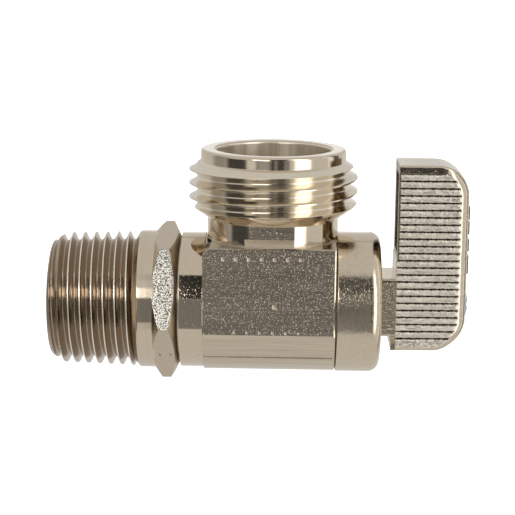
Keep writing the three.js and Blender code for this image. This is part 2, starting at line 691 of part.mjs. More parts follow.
function lever() {
  const hole = SQUARE_FLATS / 2 + GAP;
  const squareHole = box([HUB_X - BEYOND, STEM_END_X + GAP], [-hole, hole], [-hole, hole]);
  const screwWay = rodX(STEM_END_X, RECESS_X + OVERLAP, SCREW_HOLE_RADIUS, FINE);
  const recess = rodX(RECESS_X, LEVER_END_X + BEYOND, RECESS_RADIUS, FINE);
  const core = box([ROOT_X - BEYOND, CORE_END_X], [-CORE_WIDTH / 2, CORE_WIDTH / 2], [CORE_LOW, CORE_HIGH]);
  const plain = leverBlank().add(leverHub()).add(leverBack());
  const outside = leverPads().reduce((rest, pad) => rest.add(pad), plain);
  return outside.subtract(squareHole).subtract(screwWay).subtract(recess).subtract(core);
}

function leverScrew() {
  const dome = Array.from({ length: 6 }, (_, i) => {
    const share = i / 5;
    const rise = SCREW_DOME * (1 - share ** 2) - SCREW_EDGE * share ** 2;
    return [LEVER_END_X + rise, SCREW_HEAD_RADIUS * share];
  });
  const blank = alongX(
    [
      [SCREW_TIP_X, 0],
      [SCREW_TIP_X, SCREW_SHANK_RADIUS - SCREW_TIP_CHAMFER],
      [SCREW_TIP_X + SCREW_TIP_CHAMFER, SCREW_SHANK_RADIUS],
      [SCREW_HEAD_X, SCREW_SHANK_RADIUS],
      [SCREW_HEAD_X, SCREW_HEAD_RADIUS],
      ...dome.reverse(),
    ],
    FINE,
  );
  const reach = [CROSS_FLOOR_X, LEVER_END_X + BEYOND];
  const long = [-CROSS_HALF_LENGTH, CROSS_HALF_LENGTH];
  const narrow = [-CROSS_HALF_WIDTH, CROSS_HALF_WIDTH];
  return blank.subtract(box(reach, long, narrow)).subtract(box(reach, narrow, long));
}

function leverLockWasher() {
  const inner = SCREW_SHANK_RADIUS + WASHER_PLAY;
  const outer = SCREW_HEAD_RADIUS - WASHER_EDGE;
  const end = WASHER_X + WASHER_THICKNESS;
  const ring = alongX([[WASHER_X, inner], [WASHER_X, outer], [end, outer], [end, inner]], FINE);
  const split = [-WASHER_SPLIT / 2, WASHER_SPLIT / 2];
  return ring.subtract(box([WASHER_X - BEYOND, end + BEYOND], [0, outer + BEYOND], split));
}

// ---------------------------------------------------------------- assembly

const valve = new THREE.Group();
valve.add(mesh("valve_body", valveBody(), nickel));
valve.add(mesh("inlet_adapter", inletAdapter(), nickel));

// Pieces centred on the ball: the outlet's stand along +Z, and the inlet's are turned to face along -X.
const centre = new THREE.Group();
centre.position.x = VALVE_X;
valve.add(centre);
centre.add(mesh("ball", ball(), chromedBrass));
centre.add(mesh("outlet_seat", seat(), ptfe));
centre.add(mesh("outlet_seat_o_ring", ringZ(SEAT_RING_Z, SEAT_RING_RADIUS, SEAT_RING_SECTION), rubber));
centre.add(mesh("outlet_seat_retainer", outletSeatRetainer(), brass));
const inletSide = new THREE.Group();
inletSide.rotation.y = -Math.PI / 2;
centre.add(inletSide);
inletSide.add(mesh("inlet_seat", seat(), ptfe));
inletSide.add(mesh("inlet_seat_o_ring", ringZ(SEAT_RING_Z, SEAT_RING_RADIUS, SEAT_RING_SECTION), rubber));

// O-rings threaded on the inlet axis.
function axisRing(name, x, radius, section) {
  const ring = mesh(name, ringZ(0, radius, section), rubber);
  ring.rotation.y = Math.PI / 2;
  ring.position.x = x;
  return ring;
}
valve.add(axisRing("adapter_o_ring", GLAND_X + GLAND_WIDTH / 2, GLAND_RING_RADIUS, GLAND_RING_SECTION));
const stemRingRadius = (STEM_GROOVE_RADIUS + STEM_BORE_RADIUS) / 2;
["stem_o_ring_inner", "stem_o_ring_outer"].forEach((name, i) => {
  const x = STEM_GROOVES_X[i] + STEM_GROOVE_WIDTH / 2;
  valve.add(axisRing(name, x, stemRingRadius, STEM_RING_SECTION));
});

valve.add(mesh("stem", stem(), brass));
valve.add(mesh("stem_thrust_washer", stemThrustWasher(), ptfe));
valve.add(mesh("lever", lever(), castNickel));
valve.add(mesh("lever_screw", leverScrew(), steel));
valve.add(mesh("lever_lock_washer", leverLockWasher(), steel));

export default valve;
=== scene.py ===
"""Looks of the angle stop valve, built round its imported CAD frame.

Shapes are made in millimetres in the frame's own axes (+X along the inlet to the lever, +Z up the
outlet) and turned to metres when a piece is finished. Solids are cut and joined as closed meshes.
"""

import math

import bmesh
import bpy
import numpy as np
from mathutils import Matrix, Vector


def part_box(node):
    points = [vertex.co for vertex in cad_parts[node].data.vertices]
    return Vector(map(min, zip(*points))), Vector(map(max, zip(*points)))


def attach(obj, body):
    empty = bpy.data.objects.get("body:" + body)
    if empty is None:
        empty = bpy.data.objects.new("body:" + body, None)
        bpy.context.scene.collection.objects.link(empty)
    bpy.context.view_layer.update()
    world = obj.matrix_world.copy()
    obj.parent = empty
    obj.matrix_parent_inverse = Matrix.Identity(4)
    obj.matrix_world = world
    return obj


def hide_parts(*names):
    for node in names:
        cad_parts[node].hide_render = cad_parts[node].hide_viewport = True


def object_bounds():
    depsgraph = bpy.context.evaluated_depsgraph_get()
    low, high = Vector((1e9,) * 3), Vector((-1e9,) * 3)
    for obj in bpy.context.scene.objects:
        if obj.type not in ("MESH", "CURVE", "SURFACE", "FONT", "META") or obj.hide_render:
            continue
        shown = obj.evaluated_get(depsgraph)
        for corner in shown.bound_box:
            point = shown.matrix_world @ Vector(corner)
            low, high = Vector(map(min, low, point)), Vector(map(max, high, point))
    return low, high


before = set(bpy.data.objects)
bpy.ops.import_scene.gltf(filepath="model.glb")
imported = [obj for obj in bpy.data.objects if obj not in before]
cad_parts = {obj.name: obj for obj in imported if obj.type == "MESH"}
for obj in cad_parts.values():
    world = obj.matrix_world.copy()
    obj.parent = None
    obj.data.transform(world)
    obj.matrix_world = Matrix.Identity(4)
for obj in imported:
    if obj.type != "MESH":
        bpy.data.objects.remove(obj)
cad_low, cad_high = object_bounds()

# ---------------- dimensions, in millimetres

METRES = 0.001
COLUMNS = 288  # facets round a turned piece
FINE_COLUMNS = 96  # facets round a small one
BEYOND = 3.0  # how far a cutter runs past the face it cuts
FLAT_AREA = 0.4  # square millimetres above which a face counts as a large flat
FLAT_ANGLE = math.radians(3)
MARGIN = 0.2  # by which a thread's envelope clears its crests


def cad_box(node):
    """A CAD node's lowest and highest corners, in millimetres."""
    low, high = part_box(node)
    return low / METRES, high / METRES


BODY_LOW, BODY_HIGH = cad_box("valve_body")
NECK_X = BODY_LOW.x
BOSS_END_X = BODY_HIGH.x
OUTLET_TOP = BODY_HIGH.z
VALVE_X = NECK_X + 14.4  # the outlet's axis
SPIGOT_END_X = cad_box("inlet_adapter")[1].x
OVERLAP = 0.5  # how far the stages of one solid run into each other
NEAR = 0.02  # how close a face lies to a plane that it is counted with

PIPE_PITCH = 25.4 / 14
PIPE_DEPTH = 1.25
PIPE_CREST = 10.42  # the crest's radius at the end face
PIPE_CREST_SHARE = 0.1  # of the pitch
PIPE_END_RADIUS = 9.4
PIPE_END_BEVEL = (0.25, 0.3)  # along X and outwards
PIPE_CHAMFER_X = 2.3
PIPE_FIRST_CREST = 1.34
TAPER = 1 / 32
CREST_BAND = 0.06  # what lies deeper under a crest takes the flank's tint: darker on the pipe thread, as painted shade, and lighter on the hose thread, as painted light
COLLAR_X = 13.9
COLLAR_RADIUS = 11.05
COLLAR_BEVEL = 1.0
COLLAR_BEVEL_ENDS = (COLLAR_X - 0.4, COLLAR_X + 0.35)
COLLAR_FILLET = 0.3
HEX_X = 16.5
HEX_END_X = 20.5
HEX_FLATS = 22.0
HEX_TURN = 20.0  # degrees by which a flat's normal leans up from the side
HEX_CORNER_MARGIN = 0.05
HEX_NEAR_STEP = 0.25
HEX_NEAR_CHAMFER = 1.4
HEX_FAR_CHAMFER = 1.3
HEX_FAR_RADIUS = 10.3
HEX_FACE_RADIUS = 9.8
HEX_FACE_EDGE = 0.1
HEX_MARKS_X = (17.6, 19.3)
HEX_MARKS_Z = -7.2
HEX_MARK_HALF = 0.3
HEX_MARK_DEPTH = 0.3
INLET_BORE = 6.5
INLET_CHAMFER = 0.6
INLET_FILLET = 0.5
SPIGOT_RADIUS = 9.0
GLAND_X = 21.4  # the groove for the spigot's O-ring
GLAND_END_X = 23.2
GLAND_RADIUS = 7.9
SEAT_POCKET_RADIUS = 7.1

NECK_RADIUS = 10.85
BLOCK_X = 24.5
BLOCK_END_X = 45.2
BLOCK_HALF_DEPTH = 10.68
BLOCK_TOP = 10.5
BLOCK_BEVEL = 0.2
BLOCK_CHAMFER = 1.2  # off the top edge beside the neck
BLOCK_END_BEVEL = 0.24
BLOCK_END_SLOPE = math.tan(math.radians(25))
BELLY_RADIUS = 11.15
BELLY_STEPS = 96
BELLY_TOP = -3.3  # below this the forging's finish changes
CREASE = (8.38, -7.36)  # a fine groove along the belly, in Y and Z
CREASE_DEPTH = 0.4
CREASE_RISE = 0.2
CREASE_HALF_WIDTH = 0.26
CREASE_START_X = BLOCK_X - 1
CREASE_END_X = BLOCK_END_X - 0.3
BOSS_RADIUS = 11.24
BOSS_GROOVE_DEPTH = 0.9  # between the block and the boss
BOSS_GROOVE_ENDS = (BLOCK_END_X - 0.1, BLOCK_END_X + 0.3)
BOSS_EDGE = 0.2
BOSS_FILLET = 1.7
NECK_CORE_RADIUS = 10.0
ROOTED = 1.0  # how far the neck and the boss run into the block
CAVITY_RADIUS = 8.2
CAVITY_REACH = 7.6
INLET_WAY = 9.3
POCKET_END_X = 46.3  # behind the stem's flange
POCKET_RADIUS = 6.9
STEM_BORE = 3.75
# Rows of punch dimples on the block's front: first X from the outlet's axis, Z, count and half width.
DIMPLES = [(-7.5, 8.8, 7, 0.27), (-5.7, -2.85, 6, 0.2), (0.55, 1.3, 1, 0.34)]
DIMPLE_STEP = 2.0
DIMPLE_SLOPE = 0.75
DIMPLE_NORMALS = (-0.85, -0.75)  # Y of the normals of their sides

HOSE_PITCH = 25.4 / 11.5
HOSE_DEPTH = 1.3
HOSE_CREST = 13.38
HOSE_CREST_SHARE = 0.1
HOSE_CREST_Z = 16.97
HOSE_TURNS = 8
HOSE_RUNOUT = (15.3, 12.5)  # Z and radius where the thread has nearly faded
HOSE_FULL_LOW_Z = 16.3
HOSE_FULL_HIGH_Z = 21.45
OUTLET_NECK_RADIUS = 10.4
OUTLET_NECK_TOP = 13.8
OUTLET_FOOT_RADIUS = 10.5
OUTLET_FOOT_TOP = 10.64
OUTLET_FLAT = 9.8
LEDGE_HALF_DEPTH = 10.42
LEDGE_TOP = 11.7
LEDGE_SLOPE_Z = 10.95
LEDGE_ENDS = (-4.2, 3.4)  # from the outlet axis
LEDGE_FINISH_REACH = 4.0
LIP_RADIUS = 11.53
LIP_Z = 22.6
LIP_STEP = 0.2
LIP_FILLET = 0.5
OUTLET_BORE = 9.14
OUTLET_FLOOR = 12.5
BORE_FINISH_Z = 8.0  # the bore has its own rougher finish above this, with a lightened tint that is painted light
MOUTH_CHAMFER = 0.35
MOUTH_FILLET = 0.3
RETAINER_RADIUS = 8.0
RETAINER_Z = 10.05
RETAINER_TOP = 12.2
RETAINER_PLAY = 0.3
RETAINER_SEAT_PLAY = 0.15
SEAT_BORE = 4.2

LEVER_X = 54.9
LEVER_END_X = 66.05
LEVER_FOOT = -6.95
LEVER_TOP = 22.8
LEVER_HALF = 4.95  # half its thickness at the back
LEVER_FRONT_HALF = 4.75  # and at the front
LEVER_CORNER_TOP = 5.0
LEVER_CORNER_FOOT = 5.2
TOP_SLOPE_WIDTH = 1.15
TOP_SLOPE_DROP = 0.45
EDGE_FILLET = 0.35
FRONT_FILLET = 2.0
FOOT_FILLET = 0.8
RIB_PITCH = 1.148
TOP_GROOVE_Z = 20.38
GROOVE_DEPTH = 0.5
GROOVE_SHARE = 0.24  # of the pitch, which takes the painted shade of a groove
GROOVE_COUNT = 23
PANEL_TOP = TOP_GROOVE_Z + RIB_PITCH
PANEL_FOOT = TOP_GROOVE_Z - RIB_PITCH * (GROOVE_COUNT - 0.4)
STRIP_WIDTH = 0.3  # the sunk strip between the lever's back and its ribs
STRIP_DEPTH = 0.2
STRIP_BLUR = 0.1
CROWN_SHARE = 0.97  # how much of a full crown each rib's section has
FRONT_BLEND_X = (LEVER_END_X - 3.4, LEVER_END_X - 1.0)  # where the top's edge turns into the front's
FOOT_BLEND_Z = (8, -2)  # and into the foot's
FILLET_GROWTH_X = (LEVER_END_X - 5, LEVER_END_X - 1.5)
PANEL_IN_FILLET = 0.72  # how far into the fillet the rough panel starts
PANEL_BLUR = 0.12
WAVER = 0.018  # by which the cast grooves wander
HUB_FLATS = 9.4
HUB_FILLET = 0.5
HUB_X = 52.7
ROOT_X = 54.72
ROOT_TOP = 7.6
ROOT_SLOPE = 1.2
ROOT_HALF = LEVER_HALF - 0.3
TAB_X = 54.15
TAB_LIFT = 0.1
TAB_HEIGHT = 1.2
PAD_HEIGHT = 0.37
PAD_HALF_WIDTH = 1.6
PADS = [(6.6, 3.0), (9.7, 2.0), (12.5, 2.1), (14.9, 2.1)]  # middle and length in Z
SQUARE_HOLE_HALF = 2.95
SQUARE_HOLE_END_X = 62.8
CORE_HALF = 3.1
CORE_ENDS = (8.6, 21.2)
CORE_END_X = 62.6
RECESS_X = 63.3
RECESS_RADIUS = 3.7
SCREW_HOLE_RADIUS = 2.2
SCREW_HEAD_X = 64.3
SCREW_HEAD_RADIUS = 3.3
SCREW_DOME = 0.58
SCREW_EDGE = 0.3
SCREW_SHANK_RADIUS = 1.9
SCREW_TIP_X = 56.6
SCREW_TIP_RADIUS = 1.3
SCREW_TIP_LENGTH = 0.6
CROSS_HALF_LENGTH = 1.9
CROSS_HALF_WIDTH = 0.45
CROSS_DEPTH = 0.9
RETAINER_BORE = SEAT_BORE + 0.6
RETAINER_FILLET = 0.25
KEY_NOTCH_HALF = 0.8
KEY_NOTCH_DEPTH = 1.0

FLOOR_HALF = 6.0  # in metres
FLOOR_GAP = 0.0002  # in metres, under the valve
CAMERA_PLACE = (VALVE_X + 3.091, -250.0, 58.929)
CAMERA_YAW = -0.022  # in radians, to the right
CAMERA_PITCH = 0.205  # down
CAMERA_ROLL = 0.010
CAMERA_LENS = 111.16
SENSOR_WIDTH = 36

# ---------------- solids


def solid(name, points, faces):
    """A closed mesh object in millimetres, with its faces turned outwards."""
    mesh = bpy.data.meshes.new(name)
    mesh.from_pydata([tuple(p) for p in points], [], faces)
    shape = bmesh.new()
    shape.from_mesh(mesh)
    bmesh.ops.remove_doubles(shape, verts=shape.verts, dist=1e-5)
    bmesh.ops.recalc_face_normals(shape, faces=shape.faces)
    shape.to_mesh(mesh)
    shape.free()
    made = bpy.data.objects.new(name, mesh)
    bpy.context.scene.collection.objects.link(made)
    return made


def on_axis(axis, along, radius, angle):
    """A point round the inlet axis (X, angle from +Y to +Z) or the outlet axis (Z, angle from +X to +Y)."""
    a, b = radius * math.cos(angle), radius * math.sin(angle)
    return (along, a, b) if axis == "X" else (VALVE_X + a, b, along)


def turned(profile, axis="X", columns=COLUMNS):
    """A solid of revolution from a loop of (along, radius) points."""
    rings = []
    points = []
    for along, radius in profile:
        count = columns if radius > 1e-9 else 1
        ring = [len(points) + i for i in range(count)]
        points += [on_axis(axis, along, radius, 2 * math.pi * i / columns) for i in range(count)]
        rings.append(ring * (columns // count))
    faces = []
    for ring, following in zip(rings, rings[1:] + rings[:1]):
        for i in range(columns):
            j = (i + 1) % columns
            face = list(dict.fromkeys((ring[i], ring[j], following[j], following[i])))
            if len(face) > 2:
                faces.append(face)
    return solid("turned", points, faces)


def rod(axis, start, end, radius, columns=COLUMNS):
    return turned([(start, 0), (start, radius), (end, radius), (end, 0)], axis, columns)


def filleted(corners, steps=5):
    """A loop of points from (along, radius, fillet) corners, each fillet drawn as an arc."""
    points = []
    for i, (along, radius, fillet) in enumerate(corners):
        here = Vector((along, radius))
        if not fillet:
            points.append(tuple(here))
            continue
        back = (Vector(corners[i - 1][:2]) - here).normalized()
        ahead = (Vector(corners[(i + 1) % len(corners)][:2]) - here).normalized()
        half = back.angle(ahead) / 2
        reach = fillet / math.tan(half)
        centre = here + (back + ahead).normalized() * (fillet / math.sin(half))
        first = here + back * reach - centre
        last = here + ahead * reach - centre
        turn = first.angle_signed(last)
        for step in range(steps + 1):
            points.append(tuple(centre + Matrix.Rotation(-turn * step / steps, 2) @ first))
    return points


def prism(outline, start, end, plane="YZ"):
    """An outline in a plane, extruded along the third axis from start to end."""
    places = {
        "YZ": lambda a, b, c: (c, a, b),
        "XZ": lambda a, b, c: (a, c, b),
        "XY": lambda a, b, c: (a, b, c),
    }
    place = places[plane]
    count = len(outline)
    points = [place(a, b, end_at) for end_at in (start, end) for a, b in outline]
    faces = [list(range(count)), list(range(2 * count - 1, count - 1, -1))]
    faces += [[i, (i + 1) % count, count + (i + 1) % count, count + i] for i in range(count)]
    return solid("prism", points, faces)


def box(x, y, z):
    return prism([(y[0], z[0]), (y[1], z[0]), (y[1], z[1]), (y[0], z[1])], x[0], x[1])


def threaded_rod(axis, pitch, turns, section, start, taper=0.0):
    """A rod whose ridge climbs one pitch in each turn. The section lists (share of pitch, radius)."""
    size = len(section)
    rows = turns * size
    whole = rows * COLUMNS
    points = []
    for row in range(rows + size):
        share, radius = section[row % size]
        for column in range(COLUMNS if row < rows else 1):
            along = start + pitch * (row // size + share + column / COLUMNS)
            reach = radius + taper * along
            points.append(on_axis(axis, along, reach, 2 * math.pi * column / COLUMNS))

    def at(row, column):
        if column == COLUMNS:
            row, column = row + size, 0
        return row * COLUMNS + column if row < rows else whole + row - rows

    faces = []
    for row in range(rows - 1):
        for column in range(COLUMNS):
            faces.append([at(row, column), at(row, column + 1), at(row + 1, column + 1), at(row + 1, column)])
    for row, along in ((0, start - pitch), (rows - 1, start + pitch * (turns + 2))):
        edge = [at(row, column) for column in range(COLUMNS + 1)]
        edge += [at(row + step, 0) for step in range(size - 1, 0, -1)]
        centre = len(points)
        points.append(on_axis(axis, along, 0, 0))
        faces += [[centre, edge[i], edge[(i + 1) % len(edge)]] for i in range(len(edge))]
    return solid("thread", points, faces)


def thread_section(depth, crest, crest_share, slopes=6):
    """One pitch of a thread with a narrow flat crest in its middle and a rounded root."""
    section = []
    for i in range(-slopes, slopes):
        away = abs(i) / slopes  # 0 at the crest's edge and 1 at the root's middle
        share = 0.5 + (crest_share / 2 + (0.5 - crest_share / 2) * away) * (1 if i >= 0 else -1)
        section.append((share, crest - depth * math.sin(math.pi / 2 * away)))
    section.insert(slopes, (0.5 - crest_share / 2, crest))
    return section


def pyramid(place, inward, half, depth):
    """A square pyramid on the plane through a place, with its tip further in by the depth."""
    along = Vector((half, 0, 0))
    up = inward.cross(along)
    base = [place - along - up, place + along - up, place + along + up, place - along + up]
    points = base + [place + inward * depth] + [corner - inward * depth for corner in base]
    faces = [(4, 0, 3), (4, 1, 0), (4, 2, 1), (4, 3, 2), (5, 6, 7, 8)]
    faces += [(0, 1, 6, 5), (1, 2, 7, 6), (2, 3, 8, 7), (3, 0, 5, 8)]
    return solid("dimple", points, faces)


def combine(base, operation, *others):
    """Joins other solids to the base, or cuts or limits it with them, and removes them."""
    for other in others:
        modifier = base.modifiers.new("boolean", "BOOLEAN")
        modifier.operation = operation
        modifier.solver = "MANIFOLD"
        modifier.object = other
        graph = bpy.context.evaluated_depsgraph_get()
        mesh = bpy.data.meshes.new_from_object(base.evaluated_get(graph))
        base.modifiers.clear()
        base.data = mesh
        bpy.data.objects.remove(other)
    return base


def join(base, *others):
    return combine(base, "UNION", *others)


def cut(base, *others):
    return combine(base, "DIFFERENCE", *others)


def limit(base, *others):
    return combine(base, "INTERSECT", *others)


def sharpen_flats(mesh):
    """Marks the edges of large flat faces sharp, so that fillets beside them don't bend their shading."""
    shape = bmesh.new()
    shape.from_mesh(mesh)
    for edge in shape.edges:
        if len(edge.link_faces) == 2 and edge.calc_face_angle() > FLAT_ANGLE:
            if max(face.calc_area() for face in edge.link_faces) > FLAT_AREA:
                edge.smooth = False
    shape.to_mesh(mesh)
    shape.free()


def piece(shape, name, node, body, materials, choose=None, angle=28):
    """Finishes a solid: metres, smooth shading with crisp edges, its materials, and its place in the frame.

    Where there are several materials, choose gives the one for a face's centre and normal.
    """
    shape.name = name
    mesh = shape.data
    mesh.name = name
    mesh.materials.clear()
    for material in materials:
        mesh.materials.append(material)
    if choose:
        number = {material.name: i for i, material in enumerate(materials)}
        for face in mesh.polygons:
            face.material_index = number[choose(face.center, face.normal).name]
    mesh.shade_smooth()
    mesh.set_sharp_from_angle(angle=math.radians(angle))
    sharpen_flats(mesh)
    mesh.transform(Matrix.Scale(METRES, 4))
    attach(shape, body)
    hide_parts(node)
    return shape


# ---------------- materials


class Tree:
    """A node tree, with short ways to add and link its nodes."""

    def add(self, kind, **settings):
        node = self.tree.nodes.new(kind)
        for key, value in settings.items():
            setattr(node, key, value)
        return node

    def link(self, source, target):
        self.tree.links.new(source, target)


class Nodes(Tree):
    """A material's nodes."""

    def __init__(self, name):
        self.material = bpy.data.materials.new(name)
        self.material.use_nodes = True
        self.tree = self.material.node_tree
        self.shader = self.tree.nodes["Principled BSDF"]
        self.place = self.add("ShaderNodeTexCoord").outputs["Object"]

    def stretched(self, scale):
        """Object coordinates multiplied by a scale for each axis."""
        mapping = self.add("ShaderNodeMapping")
        mapping.inputs["Scale"].default_value = scale
        self.link(self.place, mapping.inputs["Vector"])
        return mapping.outputs["Vector"]

    def noise(self, scale, detail=3.0, roughness=0.55, stretch=(1, 1, 1)):
        node = self.add("ShaderNodeTexNoise")
        node.inputs["Scale"].default_value = scale
        node.inputs["Detail"].default_value = detail
        node.inputs["Roughness"].default_value = roughness
        self.link(self.stretched(stretch), node.inputs["Vector"])
        return node.outputs["Fac"]

    def remap(self, value, low, high, to_low, to_high):
        node = self.add("ShaderNodeMapRange")
        for name, number in zip(("From Min", "From Max", "To Min", "To Max"), (low, high, to_low, to_high)):
            node.inputs[name].default_value = number
        self.link(value, node.inputs["Value"])
        return node.outputs["Result"]

    def bump(self, height, distance, strength=1.0, normal=None):
        node = self.add("ShaderNodeBump")
        node.inputs["Distance"].default_value = distance
        node.inputs["Strength"].default_value = strength
        self.link(height, node.inputs["Height"])
        if normal:
            self.link(normal, node.inputs["Normal"])
        return node.outputs["Normal"]

    def rounded_edges(self, radius):
        node = self.add("ShaderNodeBevel", samples=4)
        node.inputs["Radius"].default_value = radius
        return node.outputs["Normal"]

    def mix_colour(self, factor, first, second):
        """Mixes a colour, or the output of another mix, with a second colour."""
        node = self.add("ShaderNodeMix", data_type="RGBA")
        if isinstance(first, tuple):
            node.inputs["A"].default_value = (*first, 1)
        else:
            self.link(first, node.inputs["A"])
        node.inputs["B"].default_value = (*second, 1)
        self.link(factor, node.inputs["Factor"])
        return node.outputs["Result"]


NICKEL = (0.70, 0.60, 0.46)
# Darker tint for the pipe thread's flanks and roots: painted shade.
FLANK_SHADE_TINT = (0.46, 0.375, 0.285)
# Lighter tint for the hose thread's flanks and roots: painted light that whitens their highlights.
HOSE_FLANK_LIGHT_TINT = (0.82, 0.73, 0.59)
# Lightened tint for the thread crests, the outlet bore and the lever's ribs: painted light and highlights.
LIGHTENED_TINT = (0.97, 0.89, 0.76)
FORGED = (0.62, 0.535, 0.42)
FROSTED = (0.68, 0.65, 0.58)
# Dark spots for small pits: painted shade of hollows that are not modelled.
PIT_SHADE_COLOUR = (0.10, 0.09, 0.07)
# Dark tint for the lever's back face and sunk strip: painted shade.
STRIP_SHADE_COLOUR = (0.33, 0.275, 0.21)
# Near-black tint for the lever's grooves: painted shade.
GROOVE_SHADE_COLOUR = (0.09, 0.075, 0.055)
SATIN = (0.62, 0.52, 0.40)
EDGE_ROUNDING = 0.00012  # in metres


def nickel(name, roughness, grain, stretch, speckles=None, tint=NICKEL, pit_shade=None, fade=0.93):
    """Nickel plate: a warm metal with fine grain (scale, depth) in one direction.

    Speckles (scale, depth, threshold) are sparser bumps that catch the light, and the dark spots
    (scale, threshold) are painted shade of small hollows that are not modelled. The fade is how
    far the plate's colour falls along the grain.
    """
    nodes = Nodes(name)
    shader = nodes.shader
    shader.inputs["Metallic"].default_value = 1.0
    dull = tuple(fade * c for c in tint)
    streaks = nodes.noise(1500, 5, 0.75, stretch)
    colour = nodes.mix_colour(nodes.remap(streaks, 0.35, 0.65, 0, 1), tint, dull)
    # Painted shade: dark spots stand in for the shade in small pits.
    if pit_shade:
        scale, threshold = pit_shade
        hollow = nodes.remap(nodes.noise(scale, 1, stretch=stretch), threshold, threshold + 0.08, 0, 1)
        colour = nodes.mix_colour(hollow, colour, PIT_SHADE_COLOUR)
    nodes.link(colour, shader.inputs["Base Color"])
    smudge = nodes.noise(420, 3, stretch=stretch)
    nodes.link(nodes.remap(smudge, 0.3, 0.7, roughness * 0.8, roughness * 1.25), shader.inputs["Roughness"])
    normal = nodes.rounded_edges(EDGE_ROUNDING)
    scale, depth = grain
    normal = nodes.bump(nodes.noise(scale, 2, stretch=stretch), depth, normal=normal)
    if speckles:
        scale, depth, threshold = speckles
        raised = nodes.remap(nodes.noise(scale, 2, 0.6), threshold, threshold + 0.18, 0, 1)
        normal = nodes.bump(raised, depth, normal=normal)
    nodes.link(normal, shader.inputs["Normal"])
    return nodes.material


def plain(name, colour, metallic, roughness, grain, depth):
    nodes = Nodes(name)
    shader = nodes.shader
    shader.inputs["Metallic"].default_value = metallic
    shade = nodes.noise(grain * 0.2, 3)
    darker = tuple(0.86 * c for c in colour)
    shaded = nodes.mix_colour(nodes.remap(shade, 0.3, 0.7, 0, 1), colour, darker)
    nodes.link(shaded, shader.inputs["Base Color"])
    nodes.link(nodes.remap(shade, 0.3, 0.7, roughness * 0.8, roughness * 1.25), shader.inputs["Roughness"])
    nodes.link(nodes.bump(nodes.noise(grain, 2), depth), shader.inputs["Normal"])
    return nodes.material


TURNED_X = (1, 0.02, 0.02)  # rings round the inlet axis
TURNED_Z = (0.02, 0.02, 1)
ALL_WAYS = (1, 1, 1)
DRAWN_X = (0.03, 1, 1)  # streaks along the inlet axis
ROLLED_X = (0.35, 1, 1)  # short ones
DRAWN_Z = (1, 1, 0.03)

# Thread crests, chamfer and spigot: lightened tint, a painted highlight on the crests.
thread_nickel = nickel("thread_nickel", 0.25, (5200, 0.000004), TURNED_X, tint=LIGHTENED_TINT)
# Pipe thread flanks and roots: darker tint, painted shade.
pipe_flank_shaded = nickel("pipe_flank_shaded", 0.16, (8000, 0.00002), TURNED_X, tint=FLANK_SHADE_TINT)
collar_nickel = nickel("collar_nickel", 0.07, (5200, 0.0000005), TURNED_X)
hex_nickel = nickel("hex_nickel", 0.12, (1500, 0.000002), ALL_WAYS, (3400, 0.000006, 0.5), SATIN)
# The hexagon's front flat, with painted shade in small pits.
hex_rough = nickel("hex_rough", 0.2, (3400, 0.000003), ALL_WAYS, tint=FROSTED, pit_shade=(5600, 0.47))
hex_edge = nickel("hex_edge", 0.38, (5200, 0.00001), TURNED_X)
neck_nickel = nickel("neck_nickel", 0.05, (5200, 0.0000001), ALL_WAYS, (3400, 0.000008, 0.64))
block_nickel = nickel(
    "block_nickel", 0.16, (5200, 0.000006), DRAWN_X, (4200, 0.00004, 0.6), FORGED, fade=0.78
)
mark_nickel = nickel("mark_nickel", 0.45, (1800, 0.000002), ALL_WAYS)
belly_nickel = nickel("belly_nickel", 0.16, (4200, 0.00003), DRAWN_X, fade=0.8)
boss_nickel = nickel("boss_nickel", 0.14, (2600, 0.000002), ALL_WAYS, (3600, 0.000009, 0.54))
outlet_nickel = nickel("outlet_nickel", 0.1, (5200, 0.000002), TURNED_Z)
flat_nickel = nickel("flat_nickel", 0.14, (3600, 0.00002), DRAWN_X, (3400, 0.00003, 0.64))
# Hose thread flanks and roots: lighter tint, painted light.
hose_flank_lightened = nickel("hose_flank_lightened", 0.14, (5200, 0.000003), TURNED_Z, tint=HOSE_FLANK_LIGHT_TINT)
# Outlet bore: lightened tint, painted light inside it.
bore_nickel = nickel("bore_nickel", 0.33, (700, 0.00002), DRAWN_Z, tint=LIGHTENED_TINT, fade=0.8)
ledge_nickel = nickel("ledge_nickel", 0.45, (2600, 0.00003), DRAWN_X)
# Lever ribs: lightened tint, painted highlights.
rib_nickel = nickel("rib_nickel", 0.34, (4200, 0.00005), ROLLED_X, (3600, 0.00006, 0.5), LIGHTENED_TINT, fade=0.76)
edge_nickel = nickel("edge_nickel", 0.14, (1800, 0.000002), ALL_WAYS, (3000, 0.00001, 0.56))
# Lever back face and sunk strip: dark tint, painted shade.
strip_shaded_nickel = nickel("strip_shaded_nickel", 0.3, (3600, 0.00001), ALL_WAYS, tint=STRIP_SHADE_COLOUR)
hub_nickel = nickel("hub_nickel", 0.18, (2600, 0.000006), DRAWN_X, (3400, 0.00003, 0.56))
# Lever grooves: near-black tint, painted shade.
groove_shaded_nickel = nickel("groove_shaded_nickel", 0.4, (1800, 0.00001), ALL_WAYS, (3600, 0.00008, 0.54), GROOVE_SHADE_COLOUR)
brass = plain("turned_brass", (0.55, 0.36, 0.14), 1.0, 0.25, 3000, 0.000004)
steel = plain("zinc_steel", (0.55, 0.55, 0.53), 1.0, 0.28, 2400, 0.000006)
chrome = plain("polished_chrome", (0.70, 0.70, 0.68), 1.0, 0.07, 1200, 0.000001)
ptfe = plain("fluoropolymer", (0.80, 0.79, 0.74), 0.0, 0.45, 1500, 0.00001)
rubber = plain("nitrile", (0.018, 0.018, 0.02), 0.0, 0.5, 2000, 0.00001)

# ---------------- inlet adapter


